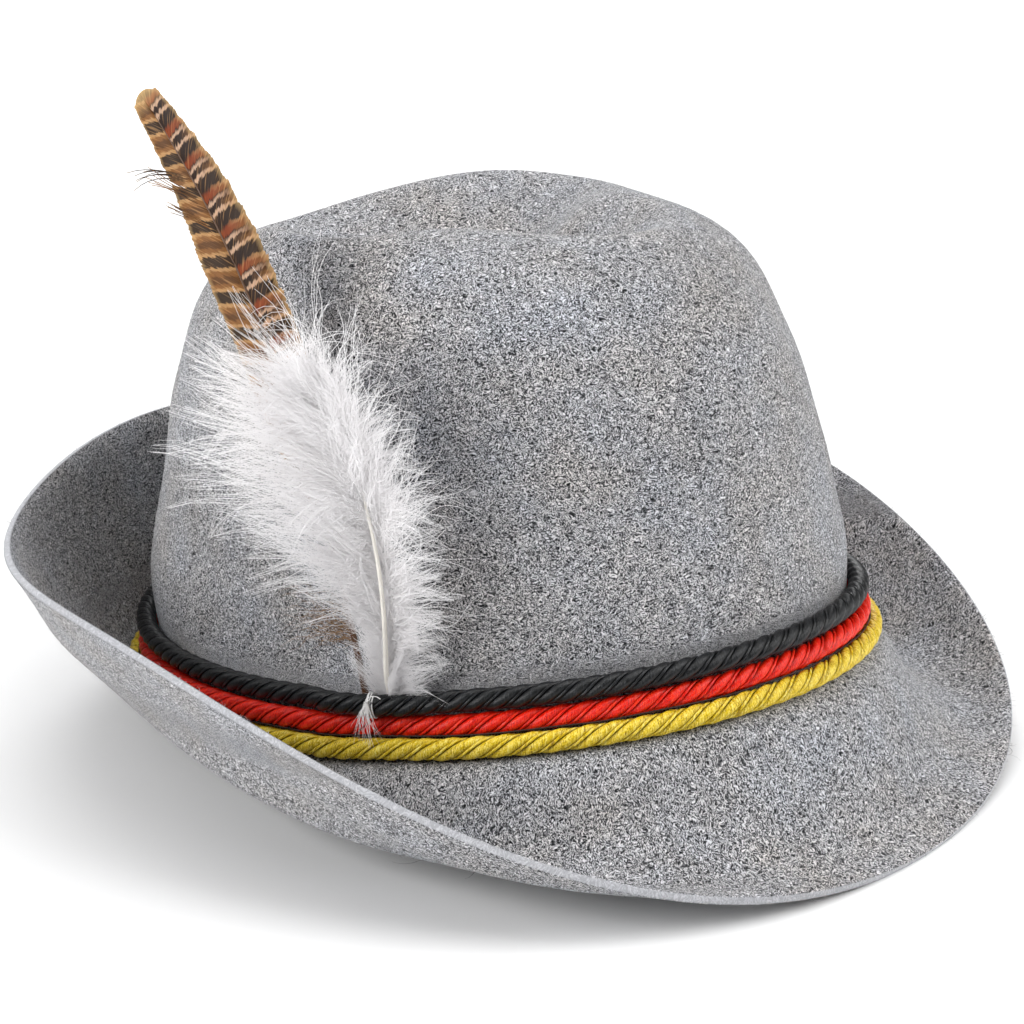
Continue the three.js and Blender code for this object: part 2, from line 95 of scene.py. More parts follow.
def add_node(
    tree: bpy.types.NodeTree,
    kind: str,
    values: Optional[dict] = None,
    links: Optional[dict] = None,
    stops: Sequence[tuple[float, str]] = (),
    **settings: Any,
) -> bpy.types.Node:
    """Adds a node with its settings and links.

    Args:
        tree: The node tree that gets the node.
        kind: The node's type name.
        values: Constants for its input sockets, by name or number.
        links: Sockets that feed its input sockets, by name or number.
        stops: Places and hex colours of a colour ramp.
        **settings: The node's own properties.

    Returns:
        The new node.
    """
    made = tree.nodes.new(kind)
    for name, value in settings.items():
        setattr(made, name, value)
    for name, value in (values or {}).items():
        made.inputs[name].default_value = value
    for name, socket in (links or {}).items():
        tree.links.new(socket, made.inputs[name])
    for index, (place, colour) in enumerate(stops):
        elements = made.color_ramp.elements
        stop = elements[index] if index < 2 else elements.new(place)
        stop.position = place
        stop.color = linear(colour)
    return made


def new_material(
    name: str, sockets: dict[str, float]
) -> tuple[bpy.types.Material, bpy.types.NodeTree, bpy.types.Node]:
    """Starts a material and sets constants on its shader's own sockets.

    Args:
        name: The material's name.
        sockets: Values of the shader's sockets, by name.

    Returns:
        The material, its node tree and its shader.
    """
    made = bpy.data.materials.new(name)
    made.use_nodes = True
    shader = made.node_tree.nodes["Principled BSDF"]
    for socket, value in sockets.items():
        shader.inputs[socket].default_value = value
    return made, made.node_tree, shader


def unit(vectors: Array) -> Array:
    """Scales vectors to a length of 1."""
    return vectors / np.maximum(np.linalg.norm(vectors, axis=-1, keepdims=True), 1e-12)


def smoothstep(low: float, high: float, values: Array) -> Array:
    """Rises smoothly from 0 at low to 1 at high."""
    share = np.clip((values - low) / (high - low), 0, 1)
    return share * share * (3 - 2 * share)


def between(ends: tuple[float, float], share: Array) -> Array:
    """Runs evenly from one value to another."""
    return ends[0] + share * (ends[1] - ends[0])


def sampled(rows: Array, spot: Array) -> Array:
    """Reads a table of points at places between its rows."""
    return np.stack([np.interp(spot, np.arange(len(rows)), column) for column in rows.T], axis=-1)


def mesh_piece(
    name: str,
    points: Array,
    faces: Sequence[Array],
    material: bpy.types.Material,
    attributes: Optional[dict[str, Array]] = None,
) -> bpy.types.Object:
    """Makes a smooth mesh object from arrays.

    Args:
        name: The object's name.
        points: Corners in millimetres, one row each.
        faces: Arrays of corner numbers, one row for each face, all rows of an array equally long.
        material: The material of every face.
        attributes: One number or one vector for each corner, by name.

    Returns:
        The new object, linked to the scene.
    """
    mesh = bpy.data.meshes.new(name)
    mesh.vertices.add(len(points))
    mesh.vertices.foreach_set("co", (points * MM).astype(np.float32).ravel())
    corners = np.concatenate([part.ravel() for part in faces])
    sizes = np.concatenate([np.full(len(part), part.shape[1]) for part in faces])
    starts = np.concatenate([[0], np.cumsum(sizes)[:-1]])
    mesh.loops.add(len(corners))
    mesh.loops.foreach_set("vertex_index", corners.astype(np.int32))
    mesh.polygons.add(len(sizes))
    mesh.polygons.foreach_set("loop_start", starts.astype(np.int32))
    mesh.polygons.foreach_set("use_smooth", np.ones(len(sizes), dtype=bool))
    mesh.update(calc_edges=True)
    for label, values in (attributes or {}).items():
        kind = "FLOAT" if values.ndim == 1 else "FLOAT_VECTOR"
        layer = mesh.attributes.new(label, kind, "POINT")
        layer.data.foreach_set("value" if values.ndim == 1 else "vector", values.astype(np.float32).ravel())
    mesh.materials.append(material)
    piece = bpy.data.objects.new(name, mesh)
    bpy.context.scene.collection.objects.link(piece)
    return piece


def grid_faces(rows: int, columns: int, closed: bool, looped: bool = False) -> Array:
    """Numbers the faces of a grid of points.

    Args:
        rows: How many rings of points there are.
        columns: How many points a ring has.
        closed: Whether each ring closes on itself.
        looped: Whether the last ring joins the first.

    Returns:
        Four corner numbers for each face.
    """
    row = np.arange(rows if looped else rows - 1)[:, None]
    column = np.arange(columns if closed else columns - 1)[None, :]
    after = (column + 1) % columns
    below = (row + 1) % rows
    corners = [row * columns + column, row * columns + after,
               below * columns + after, below * columns + column]
    return np.stack(corners, axis=-1).reshape(-1, 4)


def ribbons(paths: Array, widths: Array, across: Array) -> tuple[Array, Array]:
    """Makes a flat ribbon along each of many paths.

    Args:
        paths: Points of each path, as fibre, step and coordinate.
        widths: Half width at each point, as fibre and step.
        across: Direction of the width at each point, as paths is.

    Returns:
        The corners and the faces of all the ribbons.
    """
    edges = np.stack([paths - across * widths[..., None], paths + across * widths[..., None]], axis=2)
    count, steps = paths.shape[:2]
    base = (np.arange(count) * steps * 2)[:, None] + (np.arange(steps - 1) * 2)[None, :]
    faces = np.stack([base, base + 1, base + 3, base + 2], axis=-1).reshape(-1, 4)
    return edges.reshape(-1, 3), faces


def tube(path: Array, radius: Array, sides: int = 8) -> tuple[Array, Array]:
    """Makes a round tube along one path, drawn in to a point at both ends.

    Args:
        path: Points along the middle.
        radius: Radius at each point.
        sides: Corners of each ring.

    Returns:
        The corners and the faces of the tube.
    """
    forward = unit(np.gradient(path, axis=0))
    helper = np.where(np.abs(forward[:, 2:]) < 0.9, [[0, 0, 1]], [[1, 0, 0]])
    first = unit(np.cross(forward, helper))
    second = np.cross(forward, first)
    turn = np.arange(sides) * 2 * np.pi / sides
    rings = path[:, None] + radius[:, None, None] * (
        np.cos(turn)[None, :, None] * first[:, None] + np.sin(turn)[None, :, None] * second[:, None])
    rings[0] = path[0]
    rings[-1] = path[-1]
    return rings.reshape(-1, 3), grid_faces(len(path), sides, closed=True)


def joined(parts: Sequence[tuple[Array, Array]]) -> tuple[Array, Array]:
    """Joins several sets of corners and faces into one."""
    offsets = np.cumsum([0] + [len(points) for points, _ in parts])
    points = np.concatenate([points for points, _ in parts])
    faces = np.concatenate([faces + offset for (_, faces), offset in zip(parts, offsets)])
    return points, faces


@dataclass
class Batch:
    """Many fibres with as many points each: their paths, half widths and directions of the width."""

    paths: Array
    widths: Array
    across: Array

    def ribbons(self) -> tuple[Array, Array]:
        """Makes a flat ribbon along each fibre."""
        return ribbons(self.paths, self.widths, self.across)


@dataclass(frozen=True)
class Felt:
    """Wool felt, pressed on a block and lightly brushed: matt, with a short nap of pale and dark wool."""

    dark: str = "#131416"
    grey: str = "#48494c"
    pale: str = "#a5a6a9"
    fibre: str = "#f4f4f6"
    cut: str = "#bdbec3"
    cut_share: float = 0.75
    stroke_width: float = 0.24
    stroke_length: float = 0.7
    curl_size: float = 2.4
    curl_shift: float = 3.0
    fibre_gap: float = 1.1
    fibre_width: float = 0.065
    patch_size: float = 24.0
    patch_tone: tuple[float, float] = (0.7, 1.24)
    relief: float = 0.28

    def material(self) -> bpy.types.Material:
        """Builds the felt's material.

        The mix of pale and dark wool gives the eye a fine grey speckle, drawn out along the nap on the
        brim and tangled on the crown, with thin pale curls where single fibres lie over it. The strokes
        are as wide as tufts of fibres, because single fibres of 0.03 mm are too fine to show. Broad
        patches are worn darker or paler, and cooler or warmer. The cut edge is paler.

        Returns:
            The material.
        """
        made, tree, shader = new_material("wool_felt_brushed", {
            "Roughness": 0.95, "IOR": 1.54, "Specular IOR Level": 0.2, "Sheen Weight": 0.15,
            "Sheen Roughness": 0.45})
        nap = add_node(tree, "ShaderNodeAttribute", attribute_name="nap")
        place = add_node(tree, "ShaderNodeTexCoord")
        rim = add_node(tree, "ShaderNodeAttribute", attribute_name="cut_edge")
        curl = add_node(tree, "ShaderNodeTexNoise", {"Scale": 1 / self.curl_size, "Detail": 1.0},
                        {"Vector": nap.outputs["Vector"]})
        swing = add_node(tree, "ShaderNodeVectorMath", {1: (-0.5, -0.5, -0.5)},
                         {0: curl.outputs["Color"]}, operation="ADD")
        shift = add_node(tree, "ShaderNodeVectorMath", {"Scale": self.curl_shift}, {0: swing.outputs[0]},
                         operation="SCALE")
        bent = add_node(tree, "ShaderNodeVectorMath", None,
                        {0: nap.outputs["Vector"], 1: shift.outputs[0]}, operation="ADD")
        drawn = add_node(tree, "ShaderNodeVectorMath",
                         {1: (1 / self.stroke_width, 1 / self.stroke_width, 1 / self.stroke_length)},
                         {0: bent.outputs[0]}, operation="MULTIPLY")
        strokes = add_node(tree, "ShaderNodeTexNoise", {"Scale": 1.0, "Detail": 1.5, "Roughness": 0.6},
                           {"Vector": drawn.outputs[0]})
        ramp = add_node(tree, "ShaderNodeValToRGB", None, {"Fac": strokes.outputs["Fac"]},
                        [(0.37, self.dark), (0.63, self.pale), (0.5, self.grey)])
        patches = add_node(tree, "ShaderNodeTexNoise",
                           {"Scale": 1 / (self.patch_size * MM), "Detail": 4.5, "Roughness": 0.62},
                           {"Vector": place.outputs["Object"]})
        worn = add_node(tree, "ShaderNodeMapRange",
                        {"From Min": 0.3, "From Max": 0.7, "To Min": self.patch_tone[0],
                         "To Max": self.patch_tone[1]}, {"Value": patches.outputs["Fac"]})
        toned = add_node(tree, "ShaderNodeVectorMath", None,
                         {0: ramp.outputs["Color"], "Scale": worn.outputs[0]}, operation="SCALE")
        drawn_out = add_node(tree, "ShaderNodeVectorMath",
                             {1: (1 / self.fibre_gap, 1 / self.fibre_gap, 0.6 / self.fibre_gap)},
                             {0: bent.outputs[0]}, operation="MULTIPLY")
        tangle = add_node(tree, "ShaderNodeTexNoise", {"Scale": 1.0, "Detail": 2.0, "Roughness": 0.7},
                          {"Vector": drawn_out.outputs[0]})
        channels = add_node(tree, "ShaderNodeSeparateXYZ", None, {0: tangle.outputs["Color"]})
        fibres = []
        for channel in (0, 1):
            away = add_node(tree, "ShaderNodeMath", {1: 0.5}, {0: channels.outputs[channel]},
                            operation="SUBTRACT")
            near = add_node(tree, "ShaderNodeMath", None, {0: away.outputs[0]}, operation="ABSOLUTE")
            fibres.append(add_node(tree, "ShaderNodeMapRange", {"From Max": self.fibre_width, "To Min": 1.0,
                                                                "To Max": 0.0}, {"Value": near.outputs[0]}))
        either = add_node(tree, "ShaderNodeMath", None, {0: fibres[0].outputs[0], 1: fibres[1].outputs[0]},
                          operation="MAXIMUM")
        broken = add_node(tree, "ShaderNodeMapRange", {"From Min": 0.44, "From Max": 0.54, "To Max": 1.0},
                          {"Value": strokes.outputs["Fac"]})
        shown = add_node(tree, "ShaderNodeMath", None, {0: either.outputs[0], 1: broken.outputs[0]},
                         operation="MULTIPLY")
        haired = add_node(tree, "ShaderNodeMix", {7: linear(self.fibre)},
                          {0: shown.outputs[0], 6: toned.outputs[0]}, data_type="RGBA")
        tint = add_node(tree, "ShaderNodeValToRGB", None, {"Fac": patches.outputs["Color"]},
                        [(0.35, "#fffaf5"), (0.65, "#f6f9ff")])
        cast = add_node(tree, "ShaderNodeVectorMath", None,
                        {0: haired.outputs[2], 1: tint.outputs["Color"]}, operation="MULTIPLY")
        edge = add_node(tree, "ShaderNodeMath", {1: self.cut_share}, {0: rim.outputs["Fac"]},
                        operation="MULTIPLY")
        cut = add_node(tree, "ShaderNodeMix", {7: linear(self.cut)},
                       {0: edge.outputs[0], 6: cast.outputs[0]}, data_type="RGBA")
        bump = add_node(tree, "ShaderNodeBump", {"Strength": 0.8, "Distance": self.relief * MM},
                        {"Height": strokes.outputs["Fac"]})
        tree.links.new(cut.outputs[2], shader.inputs["Base Color"])
        tree.links.new(bump.outputs[0], shader.inputs["Normal"])
        return made


@dataclass(frozen=True)
class LooseWool:
    """Single wool fibres that stand off the felt: thin and matt, from charcoal to white."""

    dark: str = "#2f3033"
    grey: str = "#77787b"
    pale: str = "#fbfbfc"

    def material(self) -> bpy.types.Material:
        """Builds the fibres' material, one tone for each fibre.

        Returns:
            The material.
        """
        made, tree, shader = new_material("wool_fibre_loose", {"Roughness": 0.7, "IOR": 1.54})
        tone = add_node(tree, "ShaderNodeAttribute", attribute_name="tone")
        ramp = add_node(tree, "ShaderNodeValToRGB", None, {"Fac": tone.outputs["Fac"]},
                        [(0.0, self.dark), (1.0, self.pale), (0.5, self.grey)])
        tree.links.new(ramp.outputs["Color"], shader.inputs["Base Color"])
        return made


@dataclass(frozen=True)
class SatinRayon:
    """Rayon floss, twisted into strands: smooth long filaments that shine in lines along the strand, with
    painted highlight and painted shade in the lines' colour.
    """

    name: str
    # deep and bright are the floss's colour in shade and in light, painted along the filament lines as
    # shade and highlight.
    deep: str
    body: str
    bright: str
    filament: float = 0.36
    drawn: float = 6.0
    relief: float = 0.18
    # Share of the colour left deepest in the grooves: painted shade.
    painted_groove_shade: float = 0.12
    roughness: float = 0.3

    def material(self) -> bpy.types.Material:
        """Builds the cord's material.

        The filaments give the eye thin bright lines on each strand, coloured from a painted shade through
        the floss's own colour to a painted highlight. They are drawn as bundles of 0.3 mm, because single
        filaments of 0.02 mm are too fine to show. Deep in the grooves the colour is darkened as painted
        shade.

        Returns:
            The material.
        """
        made, tree, shader = new_material(self.name, {
            "Roughness": self.roughness, "IOR": 1.52, "Specular IOR Level": 0.35})
        yarn = add_node(tree, "ShaderNodeAttribute", attribute_name="yarn")
        fine = add_node(tree, "ShaderNodeVectorMath",
                        {1: (1 / self.drawn, 1 / self.filament, 1 / self.filament)},
                        {0: yarn.outputs["Vector"]}, operation="MULTIPLY")
        lines = add_node(tree, "ShaderNodeTexNoise", {"Scale": 1.0, "Detail": 2.0, "Roughness": 0.55},
                         {"Vector": fine.outputs[0]})
        # Filament streaks coloured from deep to bright: painted shade and painted highlight on the floss's
        # own body colour.
        ramp = add_node(tree, "ShaderNodeValToRGB", None, {"Fac": lines.outputs["Fac"]},
                        [(0.3, self.deep), (0.72, self.bright), (0.5, self.body)])
        # Painted shade: the colour is darkened deep in the grooves between the strands.
        unshaded_share = add_node(tree, "ShaderNodeAttribute", attribute_name="unshaded_share")
        shade = add_node(tree, "ShaderNodeMapRange", {"To Min": self.painted_groove_shade, "To Max": 1.0},
                         {"Value": unshaded_share.outputs["Fac"]})
        shaded = add_node(tree, "ShaderNodeVectorMath", None,
                          {0: ramp.outputs["Color"], "Scale": shade.outputs[0]}, operation="SCALE")
        bump = add_node(tree, "ShaderNodeBump", {"Strength": 0.9, "Distance": self.relief * MM},
                        {"Height": lines.outputs["Fac"]})
        tree.links.new(shaded.outputs[0], shader.inputs["Base Color"])
        tree.links.new(bump.outputs[0], shader.inputs["Normal"])
        return made


@dataclass(frozen=True)
class Down:
    """Down and thread: fine fibres that scatter and pass light, so that they look soft and bright."""

    name: str
    root: str
    tip: str
    passing: float = 0.35

    def material(self) -> bpy.types.Material:
        """Builds the fibres' material, which runs from one colour at the root to another at the tip.

        Returns:
            The material.
        """
        made, tree, shader = new_material(self.name, {
            "Roughness": 0.75, "IOR": 1.5, "Specular IOR Level": 0.3})
        tone = add_node(tree, "ShaderNodeAttribute", attribute_name="tone")
        ramp = add_node(tree, "ShaderNodeValToRGB", None, {"Fac": tone.outputs["Fac"]},
                        [(0.0, self.root), (1.0, self.tip)])
        through = add_node(tree, "ShaderNodeBsdfTranslucent", None, {"Color": ramp.outputs["Color"]})
        both = add_node(tree, "ShaderNodeMixShader", {0: self.passing},
                        {1: shader.outputs[0], 2: through.outputs[0]})
        tree.links.new(ramp.outputs["Color"], shader.inputs["Base Color"])
        tree.links.new(both.outputs[0], tree.nodes["Material Output"].inputs["Surface"])
        return made


@dataclass(frozen=True)
class BarredVane:
    """The vane of a hen pheasant's feather: flat barbs in dark brown and buff bars, rust by the shaft."""

    dark: str = "#35210c"
    brown: str = "#623d1a"
    tan: str = "#88592b"
    buff: str = "#b78b5a"
    umber: str = "#261206"
    rust: str = "#823711"
    blush: str = "#c5a186"
    cream: str = "#cca873"
    bar: float = 9.6
    bar_start: float = 1.2
    back_slant: float = 0.34
    front_slant: float = 0.04
    bar_wander: float = 2.6
    barb_pitch: float = 0.5
    streak_rate: float = 0.12
    rust_reach: tuple[float, float] = (3.5, 8.0)
    pale_margin: float = 0.55
    pale_end: tuple[float, float] = (157.0, 163.0)
    relief: float = 0.12

    def material(self) -> bpy.types.Material:
        """Builds the vane's material from the place along the shaft and across it.

        The bars rise towards the tip at the back of the shaft and cross it squarely at the front, and each
        buff bar holds a mottled brown middle. The front is darker, with rust beside the shaft and pale pink
        scallops. Fine lines along the barbs are drawn 0.5 mm apart, because real ones are too fine to show.

        Returns:
            The material.
        """
        made, tree, shader = new_material("pheasant_barb_barred", {
            "Roughness": 0.55, "IOR": 1.55, "Specular IOR Level": 0.2})
        vane = add_node(tree, "ShaderNodeAttribute", attribute_name="vane")
        barb = add_node(tree, "ShaderNodeAttribute", attribute_name="barb")
        split = add_node(tree, "ShaderNodeSeparateXYZ", None, {0: vane.outputs["Vector"]})
        fine = add_node(tree, "ShaderNodeVectorMath", {1: (1 / self.barb_pitch, self.streak_rate, 1.0)},
                        {0: barb.outputs["Vector"]}, operation="MULTIPLY")
        lines = add_node(tree, "ShaderNodeTexNoise", {"Scale": 1.0, "Detail": 1.0},
                         {"Vector": fine.outputs[0]})
        broad = add_node(tree, "ShaderNodeVectorMath", {1: (1 / 1.1, 1 / 3.0, 1.0)},
                         {0: barb.outputs["Vector"]}, operation="MULTIPLY")
        ragged = add_node(tree, "ShaderNodeTexNoise", {"Scale": 1.0, "Detail": 2.0, "Roughness": 0.6},
                          {"Vector": broad.outputs[0]})
        wide = add_node(tree, "ShaderNodeMath", None, {0: split.outputs[1]}, operation="ABSOLUTE")
        front = add_node(tree, "ShaderNodeMapRange", {"From Min": 0.1, "From Max": -0.3},
                         {"Value": split.outputs[1]})
        slant = add_node(tree, "ShaderNodeMapRange",
                         {"To Min": -self.back_slant, "To Max": -self.front_slant},
                         {"Value": front.outputs[0]})
        rise = add_node(tree, "ShaderNodeMath", {2: self.bar_start},
                        {0: wide.outputs[0], 1: slant.outputs[0]}, operation="MULTIPLY_ADD")
        level = add_node(tree, "ShaderNodeMath", None, {0: split.outputs[0], 1: rise.outputs[0]},
                         operation="ADD")
        wander = add_node(tree, "ShaderNodeMath", {1: self.bar_wander}, {0: ragged.outputs["Fac"]},
                          operation="MULTIPLY")
        phase = add_node(tree, "ShaderNodeMath", None, {0: level.outputs[0], 1: wander.outputs[0]},
                         operation="ADD")
        turns = add_node(tree, "ShaderNodeMath", {1: 1 / self.bar}, {0: phase.outputs[0]},
                         operation="MULTIPLY")
        within = add_node(tree, "ShaderNodeMath", None, {0: turns.outputs[0]}, operation="FRACT")
        bars = add_node(tree, "ShaderNodeValToRGB", None, {"Fac": within.outputs[0]},
                        [(0.0, self.dark), (1.0, self.dark), (0.28, self.dark), (0.32, self.buff),
                         (0.38, self.buff), (0.42, self.tan), (0.5, self.tan), (0.55, self.brown),
                         (0.7, self.brown), (0.76, self.tan), (0.86, self.tan), (0.9, self.buff),
                         (0.96, self.buff)])
        rich = add_node(tree, "ShaderNodeValToRGB", None, {"Fac": within.outputs[0]},
                        [(0.0, self.umber), (1.0, self.umber), (0.3, self.umber), (0.34, self.blush),
                         (0.4, self.blush), (0.44, self.umber), (0.58, self.umber), (0.61, self.blush),
                         (0.66, self.blush), (0.72, self.umber), (0.77, self.rust), (0.9, self.rust)])
        near = add_node(tree, "ShaderNodeMapRange",
                        {"From Min": self.rust_reach[0], "From Max": self.rust_reach[1], "To Min": 1.0,
                         "To Max": 0.25}, {"Value": wide.outputs[0]})
        share = add_node(tree, "ShaderNodeMath", None, {0: front.outputs[0], 1: near.outputs[0]},
                         operation="MULTIPLY")
        sides = add_node(tree, "ShaderNodeMix", None,
                         {0: share.outputs[0], 6: bars.outputs[0], 7: rich.outputs[0]}, data_type="RGBA")
        mottle = add_node(tree, "ShaderNodeMapRange", {"From Min": 0.58, "From Max": 0.68, "To Max": 0.4},
                          {"Value": lines.outputs["Fac"]})
        flecked = add_node(tree, "ShaderNodeMix", {7: linear(self.buff)},
                           {0: mottle.outputs[0], 6: sides.outputs[2]}, data_type="RGBA")
        margin = add_node(tree, "ShaderNodeMapRange",
                          {"From Min": 0.86, "From Max": 1.0, "To Max": self.pale_margin},
                          {"Value": split.outputs[2]})
        pale = add_node(tree, "ShaderNodeMix", {7: linear(self.cream)},
                        {0: margin.outputs[0], 6: flecked.outputs[2]}, data_type="RGBA")
        end = add_node(tree, "ShaderNodeMapRange",
                       {"From Min": self.pale_end[0], "From Max": self.pale_end[1], "To Max": 0.8},
                       {"Value": split.outputs[0]})
        tipped = add_node(tree, "ShaderNodeMix", {7: linear(self.cream)},
                          {0: end.outputs[0], 6: pale.outputs[2]}, data_type="RGBA")
        streak = add_node(tree, "ShaderNodeMapRange", {"From Min": 0.3, "From Max": 0.7, "To Min": 0.68,
                                                       "To Max": 1.05}, {"Value": lines.outputs["Fac"]})
        toned = add_node(tree, "ShaderNodeVectorMath", None,
                         {0: tipped.outputs[2], "Scale": streak.outputs[0]}, operation="SCALE")
        bump = add_node(tree, "ShaderNodeBump", {"Strength": 0.6, "Distance": self.relief * MM},
                        {"Height": lines.outputs["Fac"]})
        tree.links.new(toned.outputs[0], shader.inputs["Base Color"])
        tree.links.new(bump.outputs[0], shader.inputs["Normal"])
        return made


@dataclass(frozen=True)
class Horn:
    """Keratin of a quill, grown and scraped: smooth, waxy and slightly glossy."""

    name: str
    colour: str

    def material(self) -> bpy.types.Material:
        """Builds the quill's material, with a faint mottle along it.

        Returns:
            The material.
        """
        made, tree, shader = new_material(self.name, {"Roughness": 0.4, "IOR": 1.55})
        place = add_node(tree, "ShaderNodeTexCoord")
        mottle = add_node(tree, "ShaderNodeTexNoise", {"Scale": 1 / (4 * MM), "Detail": 2.0},
                          {"Vector": place.outputs["Object"]})
        share = add_node(tree, "ShaderNodeMapRange", {"To Min": 0.8, "To Max": 1.15},
                         {"Value": mottle.outputs["Fac"]})
        toned = add_node(tree, "ShaderNodeVectorMath", {0: linear(self.colour)[:3]},
                         {"Scale": share.outputs[0]}, operation="SCALE")
        tree.links.new(toned.outputs[0], shader.inputs["Base Color"])
        return made


@dataclass(frozen=True)
class Section:
    """One line round the hat: its reach and its height at five directions from the front to the back."""

    reach: tuple[float, float, float, float, float]
    height: tuple[float, float, float, float, float]


@dataclass(frozen=True)
class FeltForm:
    """The form of the felt, as pressed on the hat block. Shares are of the named sizes."""

    head_half_length: float = 101.5
    head_half_width: float = 85.0
    crown_height: float = 120.0
    brim_width: float = 54.0
    thickness: float = 2.0
    base_rise: float = 4.5
    base_flare: float = 1.2
    crease_depth: float = 22.0
    pinch_depth: float = 2.5
    pinch_angle: float = 22.0
    pinch_spread: float = 11.0
    pinch_height: float = 0.76
    pinch_tall: float = 0.14
    sag_depth: float = 9.0
    sag_angle: float = 140.0
    sag_spread: float = 25.0
    sag_tall: float = 0.2
    rest_tilt: float = 7.1574
    rest_shift: tuple[float, float, float] = (0.0, 4.006, 19.49)
    brim: tuple[Section, ...] = (
        Section((0.615, 0.85, 0.795, 0.635, 0.37), (-0.74, -0.275, 0.65, 0.84, 1.045)),
        Section((0.395, 0.625, 0.535, 0.465, 0.285), (-0.61, -0.405, 0.28, 0.365, 0.38)),
        Section((0.26, 0.37, 0.395, 0.245, 0.175), (-0.305, -0.375, -0.015, 0.09, -0.18)),
        Section((0.13, 0.16, 0.17, 0.12, 0.095), (-0.075, -0.055, -0.037, -0.015, -0.037)),
    )
    crown: tuple[Section, ...] = (
        Section((0.99, 0.985, 0.98, 0.985, 0.99), (0.06, 0.06, 0.06, 0.06, 0.06)),
        Section((0.985, 0.99, 0.91, 0.975, 1), (0.19, 0.215, 0.185, 0.2, 0.225)),
        Section((0.945, 0.94, 0.895, 0.905, 0.92), (0.445, 0.47, 0.48, 0.46, 0.43)),
        Section((0.895, 0.88, 0.825, 0.84, 0.85), (0.67, 0.685, 0.7, 0.67, 0.64)),
        Section((0.76, 0.757, 0.72, 0.73, 0.75), (0.845, 0.89, 0.935, 0.915, 0.825)),
        Section((0.63, 0.5, 0.64, 0.59, 0.645), (0.925, 0.985, 1.015, 1.02, 0.945)),
    )
    crease: tuple[Section, ...] = (
        Section((0.55, 0.41, 0.52, 0.49, 0.56), (0.1, 0.14, 0.16, 0.16, 0.1)),
        Section((0.4, 0.25, 0.3, 0.29, 0.4), (0.38, 0.6, 0.72, 0.72, 0.42)),
        Section((0.2, 0.12, 0.14, 0.14, 0.2), (0.75, 0.9, 1, 1, 0.78)),
    )

    @staticmethod
    def around(values: Sequence[float], angle: Array) -> Array:
        """Draws an even cosine series through five values, from the front to the back."""
        last = len(values) - 1
        total = np.zeros_like(angle)
        for wave in range(last + 1):
            weight = sum(
                (0.5 if index in (0, last) else 1) * value * math.cos(math.pi * index * wave / last)
                for index, value in enumerate(values))
            total = total + (0.5 if wave in (0, last) else 1) * weight * np.cos(wave * angle)
        return total * 2 / last

    def head(self, angle: Array) -> Array:
        """Gives the reach of the head oval at an angle from the front."""
        along = self.head_half_width * np.cos(angle)
        across = self.head_half_length * np.sin(angle)
        return self.head_half_length * self.head_half_width / np.hypot(along, across)

    def base_line(self, angle: Array) -> Array:
        """Gives the height of the base line at an angle from the front."""
        return self.base_rise * np.cos(angle) ** 2

    @staticmethod
    def place(angle: Array, reach: Array, height: Array) -> Array:
        """Gives points at an angle from the front, turned towards the wearer's right."""
        return np.stack([-reach * np.sin(angle), -reach * np.cos(angle), height], axis=-1)

    def outer(self, angle: Array, steps: int) -> Array:
        """Draws the felt's outer face from the brim's cut edge to the middle of the crease.

        Args:
            angle: Angles from the front.
            steps: Points between two sections.

        Returns:
            Points as row, angle and coordinate.
        """
        head, base = self.head(angle), self.base_line(angle)
        rows = [(head + self.brim_width * self.around(s.reach, angle),
                 base + self.brim_width * self.around(s.height, angle)) for s in self.brim]
        rows.append((head + self.base_flare, base))
        rows += [(head * self.around(s.reach, angle),
                  base + self.crown_height * self.around(s.height, angle)) for s in self.crown]
        ridge = rows[-1][1]
        rows += [(head * self.around(s.reach, angle),
                  ridge - self.crease_depth * self.around(s.height, angle)) for s in self.crease]
        rows.append((0 * angle, self.crown_height - self.crease_depth + 0 * angle))
        points = self.curve(np.array([self.place(angle, *row) for row in rows]), steps)
        return self.pinched(points, angle, steps)

    def wall(self, angle: Array, steps: int) -> Array:
        """Draws the crown's part of the outer face, from the base line up."""
        return self.outer(angle, steps)[len(self.brim) * steps:]

    @staticmethod
    def curve(knots: Array, steps: int) -> Array:
        """Draws a centripetal curve through rows of points, with even steps between them."""
        ends = np.concatenate([[2 * knots[0] - knots[1]], knots, [2 * knots[-1] - knots[-2]]])
        drawn = []
        for before, start, stop, after in zip(ends, ends[1:], ends[2:], ends[3:]):
            gaps = [np.maximum(np.linalg.norm(b - a, axis=-1, keepdims=True) ** 0.5, 1e-4)
                    for a, b in ((before, start), (start, stop), (stop, after))]
            leave = ((start - before) / gaps[0] - (stop - before) / (gaps[0] + gaps[1])
                     + (stop - start) / gaps[1]) * gaps[1]
            arrive = ((stop - start) / gaps[1] - (after - start) / (gaps[1] + gaps[2])
                      + (after - stop) / gaps[2]) * gaps[1]
            for share in np.arange(steps) / steps:
                drawn.append(start + leave * share + (3 * (stop - start) - 2 * leave - arrive) * share ** 2
                             + (2 * (start - stop) + leave + arrive) * share ** 3)
        drawn.append(knots[-1])
        return np.array(drawn)

